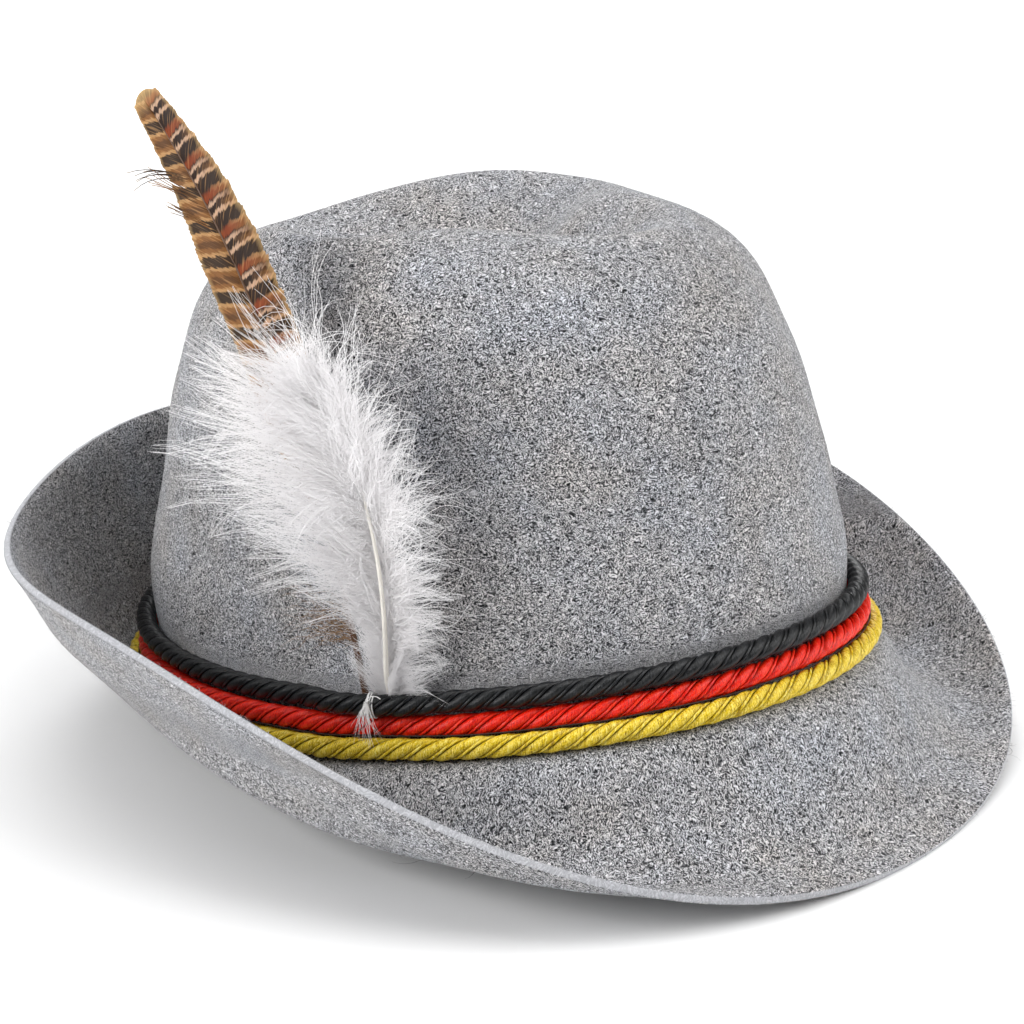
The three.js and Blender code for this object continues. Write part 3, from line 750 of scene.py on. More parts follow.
    def pinched(self, points: Array, angle: Array, steps: int) -> Array:
        """Presses in the two finger dents at the front and lets the ridge sag behind the feathers."""
        degrees = np.degrees((angle + np.pi) % (2 * np.pi) - np.pi)
        depth = np.zeros(points.shape[:2])
        for centre in (self.pinch_angle, -self.pinch_angle):
            across = (degrees - centre) / self.pinch_spread
            up = (points[..., 2] / self.crown_height - self.pinch_height) / self.pinch_tall
            depth += self.pinch_depth * np.exp(-across ** 2 - up ** 2)
        depth[:len(self.brim) * steps + 1] = 0
        share = np.hypot(points[..., 0], points[..., 1]) / self.head(angle)
        across = ((degrees - self.sag_angle + 180) % 360 - 180) / self.sag_spread
        below = (self.crown_height - points[..., 2]) / (self.crown_height * self.sag_tall)
        sag = self.sag_depth * share * np.exp(-across ** 2 - below ** 2)
        sag[:len(self.brim) * steps + 1] = 0
        points[..., :2] *= (1 - depth / self.head(angle))[..., None]
        points[..., 2] -= sag
        return points

    def stand(self, points: Array) -> Array:
        """Tips points of the hat back to its rest on the floor, in millimetres of the row frame."""
        tilt = math.radians(self.rest_tilt)
        turned = points.copy()
        turned[..., 1] = points[..., 1] * math.cos(tilt) + points[..., 2] * math.sin(tilt)
        turned[..., 2] = points[..., 2] * math.cos(tilt) - points[..., 1] * math.sin(tilt)
        return turned + np.array(self.rest_shift)

    def lift_down(self, points: Array) -> Array:
        """Undoes stand."""
        tilt = math.radians(self.rest_tilt)
        moved = points - np.array(self.rest_shift)
        turned = moved.copy()
        turned[..., 1] = moved[..., 1] * math.cos(tilt) - moved[..., 2] * math.sin(tilt)
        turned[..., 2] = moved[..., 2] * math.cos(tilt) + moved[..., 1] * math.sin(tilt)
        return turned


@dataclass(frozen=True)
class FibreKind:
    """How many fibres of a kind lie on the felt, their shortest and longest length, how far they turn
    from the root to the tip in degrees, and how many points each has."""

    number: int
    length: tuple[float, float]
    curl: float
    steps: int


@dataclass
class FeltHat:
    """Crown and brim of one piece of felt, with its nap."""

    form: FeltForm
    stations: int = 288
    steps: int = 6
    unevenness: float = 0.3
    edge_bulge: float = 0.22
    nap_circle: float = 105.0
    nap_scale: tuple[float, float, float] = (0.75, 0.75, 1.5)
    nap_change: tuple[float, float] = (0.07, 0.15)
    nap_half_width: float = 0.064
    nap_lift: tuple[float, float] = (3.0, 20.0)
    short: FibreKind = FibreKind(34000, (0.8, 2.2), 30.0, 3)
    stray: FibreKind = FibreKind(420, (4.0, 9.0), 90.0, 9)
    curled: FibreKind = FibreKind(21000, (1.0, 2.6), 110.0, 5)

    def __post_init__(self) -> None:
        """Works out the outer face and its directions in the row frame."""
        self.angle = np.arange(self.stations) * 2 * np.pi / self.stations
        form = self.form.outer(self.angle, self.steps)
        self.brim_rows = len(self.form.brim) * self.steps
        self.lengths = np.concatenate([np.zeros((1, self.stations)),
                                       np.cumsum(np.linalg.norm(np.diff(form, axis=0), axis=-1), axis=0)])
        away = self.lengths - self.lengths[self.brim_rows]
        wave = (np.sin(3 * self.angle + 1.3) * np.sin(away / 8.5 + 0.4)
                + 0.7 * np.sin(5 * self.angle + 0.4) * np.sin(away / 6.1 + 2.0)
                + 0.5 * np.sin(8 * self.angle + 2.2) * np.sin(away / 4.3))
        calm = smoothstep(24, 40, np.abs(away)) * smoothstep(0, 12, self.lengths)
        _, out = self.directions(form)
        form = form + out * (self.unevenness * wave * calm)[..., None]
        form[-1] = form[-1].mean(0)
        self.outer = self.form.stand(form)
        self.along, self.out = self.directions(self.outer)
        self.inner = self.outer - self.out * self.form.thickness
        self.height_share = (form[..., 2] - self.form.base_line(self.angle)) / self.form.crown_height

    @staticmethod
    def directions(rows: Array) -> tuple[Array, Array]:
        """Gives the unit directions up the section and out of the felt at each point."""
        along = unit(np.gradient(rows, axis=0))
        around = np.roll(rows, -1, axis=1) - np.roll(rows, 1, axis=1)
        around[-1] = around[-2]
        out = unit(np.cross(along, around))
        return along, out * np.sign((out[len(rows) // 2] * rows[len(rows) // 2]).sum(-1).mean())

    def edge_rows(self) -> list[Array]:
        """Rounds the cut edge between the two faces of the felt."""
        out = -self.along[0]
        return [self.outer[0] + (self.inner[0] - self.outer[0]) * share + out * self.edge_bulge * bulge
                for share, bulge in ((0.12, 0.75), (0.35, 1.0), (0.65, 1.0), (0.88, 0.75))]

    def dress(self) -> bpy.types.Object:
        """Builds the felt and gives it its finish.

        Returns:
            The felt as one mesh.
        """
        rows = [*self.outer[::-1][1:], *self.edge_rows(), *self.inner[:-1]]
        count, edge = self.outer.shape[0] - 1, len(self.edge_rows())
        grid = np.array(rows)
        grid[..., 2] = np.maximum(grid[..., 2], 0)
        poles = np.array([self.outer[-1, 0], self.inner[-1, 0]])
        faces = grid_faces(len(rows), self.stations, closed=True)
        ring = np.arange(self.stations)
        after = (ring + 1) % self.stations
        last = (len(rows) - 1) * self.stations
        first_pole = grid.shape[0] * self.stations
        caps = np.concatenate([
            np.stack([ring, np.full_like(ring, first_pole), after], axis=-1),
            np.stack([last + after, np.full_like(ring, first_pole + 1), last + ring], axis=-1)])
        across_edge = np.linspace(0, -self.form.thickness, edge + 2)[1:-1, None] + 0 * self.lengths[:1]
        length = np.concatenate([self.lengths[::-1][1:], across_edge,
                                 -self.form.thickness - self.lengths[:-1]])
        circle = -self.nap_circle * np.stack([np.sin(self.angle), np.cos(self.angle)], axis=-1)
        share = np.concatenate([self.height_share[::-1][1:], np.zeros((edge, self.stations)),
                                self.height_share[:-1]])
        crown = smoothstep(*self.nap_change, share)[..., None]
        drawn = np.concatenate([circle + 0 * grid[..., :2], length[..., None]], axis=-1)
        nap = drawn * (1 - crown) + grid * np.array(self.nap_scale) * crown
        cut = np.zeros((len(rows), self.stations))
        cut[count:count + edge] = 1
        piece = mesh_piece(
            "felt_hat", np.concatenate([grid.reshape(-1, 3), poles]), [faces, caps], Felt().material(),
            {"nap": np.concatenate([nap.reshape(-1, 3), poles * np.array(self.nap_scale)]),
             "cut_edge": np.concatenate([cut.ravel(), [0, 0]])})
        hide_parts("felt_body")
        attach(piece, "root")
        return piece

    def spots(self, draw: np.random.Generator, count: int) -> tuple[Array, Array, Array, Array]:
        """Picks even random places on the faces of the felt that show.

        Args:
            draw: The source of random numbers.
            count: How many places to pick.

        Returns:
            The place, the way down the nap, the way out of the felt and the share of crown height.
        """
        outer = (self.outer, -self.along, self.out, self.height_share)
        under = slice(0, self.brim_rows + 1)
        inner = (self.inner[under], -self.along[under], -self.out[under],
                 np.zeros_like(self.height_share[under]))
        cells = []
        for points, _, _, _ in (outer, inner):
            right = np.roll(points, -1, axis=1)
            area = np.linalg.norm(np.cross(right[:-1] - points[:-1], points[1:] - points[:-1]), axis=-1)
            cells.append(area)
        total = sum(area.sum() for area in cells)
        picked: list[list[Array]] = [[], [], [], []]
        for face, area in zip((outer, inner), cells):
            number = int(round(count * area.sum() / total))
            cell = draw.choice(area.size, number, p=area.ravel() / area.sum())
            row, column = np.divmod(cell, self.stations)
            up, over = draw.random((2, number, 1))
            beside = (column + 1) % self.stations
            for store, values in zip(picked, face):
                grid = values if values.ndim == 3 else values[..., None]
                store.append((grid[row, column] * (1 - up) + grid[row + 1, column] * up) * (1 - over)
                             + (grid[row, beside] * (1 - up) + grid[row + 1, beside] * up) * over)
        place, down, out, share = (np.concatenate(store) for store in picked)
        return place, unit(down), unit(out), share[:, 0]

    def fibres(self, draw: np.random.Generator, kind: FibreKind) -> Batch:
        """Lays fibres over the felt, down the nap on the walls and every way on top of the crown.

        Args:
            draw: The source of random numbers.
            kind: What the fibres are like.

        Returns:
            The fibres.
        """
        place, down, out, share = self.spots(draw, kind.number)
        keep = place[:, 2] > 0.6
        place, down, out, share = place[keep], down[keep], out[keep], share[keep]
        number = len(place)
        spread = np.radians(32 + 130 * smoothstep(0.7, 0.95, share))
        heading = draw.normal(0, 1, number) * spread
        side = np.cross(out, down)
        rise = np.radians(draw.uniform(*self.nap_lift, number))[:, None]
        long = draw.uniform(*kind.length, number)[:, None]
        turn = np.radians(draw.normal(0, kind.curl, number))[:, None]
        share_along = np.linspace(0, 1, kind.steps)
        paths = np.zeros((number, kind.steps, 3))
        across = np.zeros((number, kind.steps, 3))
        point = place - 0.05 * out
        for step, done in enumerate(share_along):
            angle = heading[:, None] + turn * done
            flat = down * np.cos(angle) + side * np.sin(angle)
            lift = rise * (1 - 1.5 * done)
            ahead = flat * np.cos(lift) + out * np.sin(lift)
            paths[:, step] = point
            across[:, step] = unit(np.cross(ahead, out))
            point = point + ahead * long / (kind.steps - 1)
        paths[..., 2] = np.maximum(paths[..., 2], 0.1)
        widths = self.nap_half_width * (1 - 0.75 * share_along)[None] * draw.uniform(0.7, 1.4, (number, 1))
        return Batch(paths, widths, across)

    def dress_nap(self) -> list[bpy.types.Object]:
        """Builds the loose fibres of the nap as ribbons: short straight ones, curled ones and a few long.

        Returns:
            The two pieces of nap.
        """
        draw = np.random.default_rng(11)
        short, stray, curled = (self.fibres(draw, kind) for kind in (self.short, self.stray, self.curled))
        finish = LooseWool().material()
        made = []
        for name, batches, fair in (("felt_nap", (short, stray), 0.9), ("felt_nap_curled", (curled,), 0.4)):
            points, faces = joined([batch.ribbons() for batch in batches])
            tones = [np.repeat(draw.beta(1.1, fair, len(batch.paths)), batch.paths.shape[1] * 2)
                     for batch in batches]
            piece = mesh_piece(name, points, [faces], finish, {"tone": np.concatenate(tones)})
            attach(piece, "root")
            made.append(piece)
        return made


@dataclass(frozen=True)
class Ply:
    """One ply of a strand: how far its middle is from the cord's, its half depth and half width, its
    turn ahead of the strand in degrees and its corners."""

    reach: float
    deep: float
    wide: float
    ahead: float
    sides: int


@dataclass
class TwistedCord:
    """A cord of three twisted strands that runs round the crown as a whole loop."""

    node: str
    slot: str
    finish: SatinRayon
    hat: FeltHat
    lay: float
    start: float
    diameter: float = 5.6
    strands: int = 3
    # The fat main ply and the thin one beside it in the groove.
    plies: tuple[Ply, ...] = (Ply(1.46, 1.36, 1.32, 0.0, 11), Ply(2.1, 0.5, 0.4, 63.0, 7))
    # Reach from the cord's middle over which the painted groove shade fades out.
    groove: tuple[float, float] = (1.7, 2.6)
    strand_lay: float = 5.2
    stations: int = 60
    points_per_turn: int = 16

    def middles(self) -> Array:
        """Reads the middle of the cord from its CAD loop.

        Returns:
            One point for each station, in the hat's own frame.
        """
        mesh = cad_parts[self.node].data
        corners = np.zeros(len(mesh.vertices) * 3)
        mesh.vertices.foreach_get("co", corners)
        corners = np.unique(np.round(corners.reshape(-1, 3) / MM, 3), axis=0)
        local = self.hat.form.lift_down(corners)
        angle = np.arctan2(-local[:, 0], -local[:, 1])
        station = np.rint(angle / (2 * np.pi / self.stations)).astype(int) % self.stations
        return np.array([local[station == index].mean(0) for index in range(self.stations)])

    def centre_line(self) -> tuple[Array, Array, float]:
        """Draws a smooth closed line through the middles.

        Returns:
            Evenly spaced points, the outward directions at them and the length of the loop.
        """
        knots = self.middles()
        wrapped = np.concatenate([knots[-1:], knots, knots[:2]])
        fine = FeltForm.curve(wrapped, 24)[24:-24 - 1]
        gaps = np.linalg.norm(np.diff(np.concatenate([fine, fine[:1]]), axis=0), axis=-1)
        run = np.concatenate([[0], np.cumsum(gaps)])
        turns = round(run[-1] / self.lay)
        count = turns * self.points_per_turn
        even = np.linspace(0, run[-1], count, endpoint=False)
        closed = np.concatenate([fine, fine[:1]])
        points = np.stack([np.interp(even, run, closed[:, axis]) for axis in range(3)], axis=-1)
        away = unit(points * np.array([1, 1, 0]))
        return points, away, float(run[-1])

    def dress(self) -> bpy.types.Object:
        """Builds the cord's strands as one mesh.

        Returns:
            The cord.
        """
        points, away, length = self.centre_line()
        forward = unit(np.roll(points, -1, axis=0) - np.roll(points, 1, axis=0))
        away = unit(away - forward * (away * forward).sum(-1, keepdims=True))
        up = np.cross(forward, away)
        up *= np.sign(up[:, 2].mean())
        turns = round(length / self.lay)
        turn = -2 * np.pi * turns * np.arange(len(points)) / len(points) + self.start
        run = np.arange(len(points)) * length / len(points)
        parts, yarns, unshaded_shares = [], [], []
        for strand, ply in [(strand, ply) for strand in range(self.strands) for ply in self.plies]:
            phase = (turn + 2 * np.pi * strand / self.strands + math.radians(ply.ahead))[:, None]
            outward = np.cos(phase) * away + np.sin(phase) * up
            middle = points + ply.reach * outward
            ahead = unit(np.roll(middle, -1, axis=0) - np.roll(middle, 1, axis=0))
            deep = unit(outward - ahead * (outward * ahead).sum(-1, keepdims=True))
            wide = np.cross(ahead, deep)
            corner = np.arange(ply.sides) * 2 * np.pi / ply.sides
            rings = (middle[:, None] + ply.deep * np.cos(corner)[None, :, None] * deep[:, None]
                     + ply.wide * np.sin(corner)[None, :, None] * wide[:, None])
            parts.append((rings.reshape(-1, 3), grid_faces(len(points), ply.sides, True, looped=True)))
            spin = corner[None] + 2 * np.pi * run[:, None] / self.strand_lay
            yarn = np.stack([np.broadcast_to(run[:, None] + 40 * strand, spin.shape),
                             ply.deep * np.cos(spin), ply.deep * np.sin(spin)], axis=-1)
            yarns.append(yarn.reshape(-1, 3))
            # Painted groove shade: 0 deep between the strands, 1 on their tops.
            reach = np.linalg.norm(rings - points[:, None], axis=-1)
            unshaded_shares.append(smoothstep(*self.groove, reach).ravel())
        corners, faces = joined(parts)
        piece = mesh_piece(f"{self.node}_strands", self.hat.form.stand(corners), [faces],
                           self.finish.material(),
                           {"yarn": np.concatenate(yarns), "unshaded_share": np.concatenate(unshaded_shares)})
        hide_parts(self.node)
        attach(piece, "root")
        return piece


@dataclass(frozen=True)
class Lean:
    """How a quill leans from its lower to its upper end, in degrees. A bend over 1 straightens its foot."""

    back: tuple[float, float]
    inwards: tuple[float, float]
    bend: float


@dataclass
class Quill:
    """A quill tucked in behind the top cord, and the directions along it."""

    hat: FeltHat
    length: float
    lean: Lean
    beside: float
    off_felt: float
    direction: float = 70.0
    cord_height: float = 12.6
    tuck: float = 3.0
    steps: int = 96
    wall_steps: int = 8

    def __post_init__(self) -> None:
        """Draws the quill in the hat's own frame."""
        form = self.hat.form
        angle = np.array([math.radians(self.direction)])
        height = form.base_line(angle)[0] + self.cord_height - self.tuck
        wall = form.wall(angle, self.wall_steps)[:5 * self.wall_steps, 0]
        reach = np.interp(height, wall[:, 2], np.hypot(wall[:, 0], wall[:, 1]))
        foot = form.place(angle, np.array([reach]), np.array([height]))[0]
        self.up = np.array([0.0, 0.0, 1.0])
        self.out = unit(foot / np.array([form.head_half_width, form.head_half_length, 1e9]) ** 2)
        self.back = np.cross(self.out, self.up)
        share = ((np.arange(self.steps) + 0.5) / self.steps) ** self.lean.bend
        back = np.radians(between(self.lean.back, share))[:, None]
        inwards = np.radians(between(self.lean.inwards, share))[:, None]
        heading = (self.up * np.cos(back) * np.cos(inwards) + self.back * np.sin(back) * np.cos(inwards)
                   - self.out * np.sin(inwards))
        start = foot + self.back * self.beside + self.out * self.off_felt
        self.path = np.concatenate([[start], start + np.cumsum(heading * self.length / self.steps, axis=0)])

    def at(self, along: Array) -> tuple[Array, Array, Array, Array]:
        """Gives places and directions along the quill.

        Args:
            along: Shares of the quill's length.

        Returns:
            The place, and the directions forward, to the back of the hat and away from the crown.
        """
        spot = np.clip(along, 0, 1) * self.steps
        forward = unit(sampled(unit(np.gradient(self.path, axis=0)), spot))
        side = unit(np.cross(self.out, forward))
        return sampled(self.path, spot), forward, side, np.cross(forward, side)

    def shaft(
        self, start: float, stop: float, thick: float, thin: float, bow: float = 0.0
    ) -> tuple[Array, Array]:
        """Builds the round shaft.

        Args:
            start: Share of the quill's length where it begins.
            stop: Share where it ends.
            thick: Thickness at the start.
            thin: Thickness at the end.
            bow: How far its lower half bows away from the crown, in front of the barbs.

        Returns:
            The corners and the faces of the shaft.
        """
        along = np.linspace(start, stop, 60)
        out = bow * smoothstep(0.02, 0.12, along) * (1 - smoothstep(0.5, 0.66, along))
        return tube(self.at(along)[0] + self.out * out[:, None], np.linspace(thick, thin, 60) / 2)


def grow(
    quill: Quill, along: Array, side: Array, angle: Array, turn: Array, lift: Array, fall: Array,
    length: Array, steps: int, wave: Optional[Array] = None,
) -> tuple[Array, Array]:
    """Grows barbs from a quill.

    Args:
        quill: The quill that carries the barbs.
        along: Share of the quill's length at each root.
        side: 1 for the back and -1 for the front.
        angle: Angle from the quill at the root, in degrees.
        turn: How far a barb turns away from the quill by its tip, in degrees.
        lift: Angle away from the crown at the root, in degrees.
        fall: How far the lift falls by the tip, in degrees.
        length: Length of each barb.
        steps: Points of each barb.
        wave: Height and phase of a wave in each barb's heading, in degrees and radians.

    Returns:
        The barbs' paths and the directions of their width.
    """
    place, forward, back, face = quill.at(along)
    paths = np.zeros((len(along), steps, 3))
    across = np.zeros((len(along), steps, 3))
    point = place.copy()
    for step in range(steps):
        done = step / (steps - 1)
        heading = np.radians(angle + turn * done ** 1.3)
        if wave is not None:
            heading = heading + np.radians(wave[0]) * np.sin(9 * done + wave[1])
        rise = np.radians(lift - fall * done)
        flat = forward * np.cos(heading)[:, None] + back * (side * np.sin(heading))[:, None]
        ahead = flat * np.cos(rise)[:, None] + face * np.sin(rise)[:, None]
        paths[:, step] = point
        across[:, step] = unit(np.cross(ahead, face))
        point = point + ahead * (length / (steps - 1))[:, None]
    return paths, across


@dataclass
class PheasantFeather:
    """The barred feather: a horn shaft with two flat rows of barbs, and down at its foot."""

    hat: FeltHat
    length: float = 165.0
    half_width: float = 9.6
    shaft: float = 1.7
    shaft_stop: float = 0.955
    shaft_end: float = 0.34
    lean: Lean = Lean((5, 40), (-1, 12), 1.5)
    beside: float = 3.0
    vane_start: float = 0.3
    vane_stop: float = 0.968
    tip: float = 0.982
    barb_gap: float = 0.42
    barb_steps: int = 11
    barb_angle: float = 34.0
    barb_turn: float = 14.0
    arch: float = 13.0
    above_shaft: float = 0.08
    width_places: tuple[float, ...] = (0.3, 0.39, 0.49, 0.65, 0.73, 0.8, 0.85, 0.9, 0.94, 0.985)
    back_width: tuple[float, ...] = (0.25, 0.78, 0.96, 1.0, 0.93, 0.78, 0.65, 0.56, 0.5, 0.42)
    front_width: tuple[float, ...] = (0.25, 0.82, 0.98, 1.0, 0.98, 0.9, 0.79, 0.68, 0.6, 0.48)
    # How far the end draws back towards the sides, for each square millimetre off the shaft.
    rounding: float = 0.1
    splits: tuple[tuple[Side, float, float], ...] = (
        (Side.BACK, 0.9, 0.25), (Side.BACK, 0.872, 0.2), (Side.BACK, 0.798, 0.8), (Side.BACK, 0.765, 0.4),
        (Side.BACK, 0.715, 0.45), (Side.FRONT, 0.9, 0.2), (Side.FRONT, 0.79, 0.1), (Side.FRONT, 0.66, 0.12),
        (Side.BACK, 0.65, 0.3), (Side.FRONT, 0.58, 0.2), (Side.BACK, 0.56, 0.25))
    torn: tuple[tuple[float, float], ...] = ((0.822, 84.0), (0.786, 46.0), (0.738, 40.0))
    torn_barbs: int = 7
    tuft_barbs: int = 90

    def __post_init__(self) -> None:
        """Places the quill behind the top cord."""
        self.quill = Quill(self.hat, self.length, self.lean, self.beside, self.shaft / 2 + QUILL_GAP)

    def width_at(self, along: Array, side: Side) -> Array:
        """Gives the vane's width on one side at shares of the feather's length."""
        shares = self.back_width if side is Side.BACK else self.front_width
        return np.interp(along, self.width_places, shares) * self.half_width

    def row(self, side: Side) -> tuple[Array, Array, Array, Array]:
        """Grows one row of barbs that hook into a sheet, apart from where it has split.

        Args:
            side: The side of the shaft.

        Returns:
            The corners, the faces, the place in the vane and the place along the barbs.
        """
        draw = np.random.default_rng(5 if side is Side.BACK else 6)
        number = int(self.length * (self.vane_stop - self.vane_start) / self.barb_gap)
        along = np.linspace(self.vane_start, self.vane_stop, number)
        angle = self.barb_angle * (1 - 0.25 * smoothstep(0.86, 0.94, along)
                                   - 0.9 * smoothstep(0.92, 0.97, along))
        mean = np.radians(np.maximum(angle, 0) + 7)
        ahead = self.width_at(along, side) / np.tan(mean) / self.length
        length = self.width_at(along + ahead, side) / np.sin(mean)
        rough = np.convolve(draw.normal(0, 1, number + 4), np.ones(5) / 5, "valid")
        length *= 1 + 0.035 * rough + 0.012 * draw.normal(0, 1, number)
        left = (self.tip - along) * self.length / np.cos(mean) + 0.8
        aside = np.minimum(length, left) * np.sin(mean)
        length = np.minimum(length, left - self.rounding * aside ** 2)
        turn = np.full(number, self.barb_turn)
        lift = np.full(number, self.arch)
        open_after = np.zeros(number, dtype=bool)
        for split_side, place, gape in self.splits:
            if split_side is not side:
                continue
            first = int(np.searchsorted(along, place))
            open_after[first] = gape > 0.5
            away = np.arange(number) - first
            turn += np.where(away > 0, -1.0, 1.0) * 4.5 * gape * np.exp(-np.abs(away - 0.5) / 9)
            lift += np.where(away > 0, 3.0, -2.0) * gape * np.exp(-np.abs(away - 0.5) / 5)
        paths, _ = grow(self.quill, along, np.full(number, float(side.value)), angle, turn, lift,
                        np.full(number, 2.1 * self.arch), length, self.barb_steps)
        paths = paths + self.above_shaft * self.quill.out
        shares = np.linspace(0, 1, self.barb_steps)
        distance = shares[None] * length[:, None]
        lean = np.radians(angle + turn / 2)[:, None]
        vane = np.stack([along[:, None] * self.length + distance * np.cos(lean),
                         side.value * distance * np.sin(lean),
                         np.broadcast_to(shares, distance.shape)], axis=-1)
        root = np.broadcast_to(along[:, None] * self.length, distance.shape)
        barb = np.stack([root, distance, np.full_like(distance, 20.0 * side.value)], axis=-1)
        cells = grid_faces(number, self.barb_steps, closed=False)
        cells = cells.reshape(number - 1, self.barb_steps - 1, 4)
        kept = np.ones(cells.shape[:2], dtype=bool)
        kept[np.flatnonzero(open_after), 5:] = False
        return paths.reshape(-1, 3), cells[kept], vane.reshape(-1, 3), barb.reshape(-1, 3)

    def loose_barbs(self) -> tuple[Array, Array, Array, Array]:
        """Grows the few barbs that have torn away from the back row and stand out."""
        draw = np.random.default_rng(9)
        places, angles = (np.repeat(values, self.torn_barbs) for values in np.array(self.torn).T)
        number, steps = len(places), 9
        paths, across = grow(
            self.quill, places + draw.normal(0, 0.004, number), np.ones(number),
            np.full(number, self.barb_angle), angles - self.barb_angle + draw.normal(0, 9, number),
            draw.uniform(4, 16, number), draw.uniform(0, 20, number), draw.uniform(13, 19, number), steps)
        shares = np.linspace(0, 1, steps)
        widths = np.broadcast_to(0.16 * (1 - 0.5 * shares), (number, steps))
        points, faces = ribbons(paths, widths, across)
        root = places[:, None] * self.length + 0 * shares
        vane = np.stack([root, 9 * shares + 0 * root, shares + 0 * root], axis=-1)
        barb = np.stack([root, 15 * shares + 0 * root, 40 + 0 * root], axis=-1)
        vane, barb = (np.repeat(values.reshape(-1, 3), 2, axis=0) for values in (vane, barb))
        return points, faces, vane, barb

    def tuft(self) -> tuple[Array, Array, dict[str, Array]]:
        """Builds the brown down at the foot of the feather."""
        draw = np.random.default_rng(8)
        number, steps = self.tuft_barbs, 8
        along = draw.uniform(0.1, 0.16, number)
        paths, across = grow(
            self.quill, along, np.ones(number), draw.uniform(42, 84, number), draw.uniform(0, 60, number),
            draw.uniform(-2, 16, number), draw.uniform(0, 24, number), draw.uniform(9, 21, number), steps,
            np.stack([draw.uniform(10, 55, number), draw.uniform(0, 6, number)]))
        widths = 0.06 * (1 - 0.7 * np.linspace(0, 1, steps))[None] * np.ones((number, 1))
        points, faces = ribbons(paths, widths, across)
        return points, faces, {"tone": np.repeat(draw.random(number), 2 * steps)}

    def dress(self) -> list[bpy.types.Object]:
        """Builds the feather's shaft, vane and tuft.

        Returns:
            The pieces.
        """
        stand = self.hat.form.stand
        rows = [self.row(Side.BACK), self.row(Side.FRONT), self.loose_barbs()]
        points, faces = joined([(corners, cells) for corners, cells, _, _ in rows])
        vane = mesh_piece("pheasant_vane", stand(points), [faces], BarredVane().material(),
                          {"vane": np.concatenate([place for _, _, place, _ in rows]),
                           "barb": np.concatenate([barb for _, _, _, barb in rows])})
        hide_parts("pheasant_feather")
        points, faces = self.quill.shaft(0.0, self.shaft_stop, self.shaft, self.shaft_end)
        shaft = mesh_piece("pheasant_shaft", stand(points), [faces],
                           Horn("pheasant_quill_horn", "#5a3a22").material())
        points, faces, attributes = self.tuft()
        tuft = mesh_piece("pheasant_tuft", stand(points), [faces],
                          Down("pheasant_down", "#5d4432", "#b3906a").material(), attributes)
        for piece in (vane, shaft, tuft):
            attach(piece, "root")
        return [vane, shaft, tuft]


@dataclass(frozen=True)
class TuftKind:
    """How many tufts of a kind there are and how many barbs each has, where they grow, their reach as a
    share of the plume's, how widely the tufts and the barbs in them part in degrees, how far the barbs
    hold together, the mean and the scatter of their lift in degrees, how far they lean from the quill as a
    share of the plume's barbs, and half the width of a barb."""

    number: int
    barbs: int
    along: tuple[float, float]
    reach: tuple[float, float]
    spread: float
    parting: float
    hold: tuple[float, float]
    lift: tuple[float, float]
    leaning: float
    half_width: float


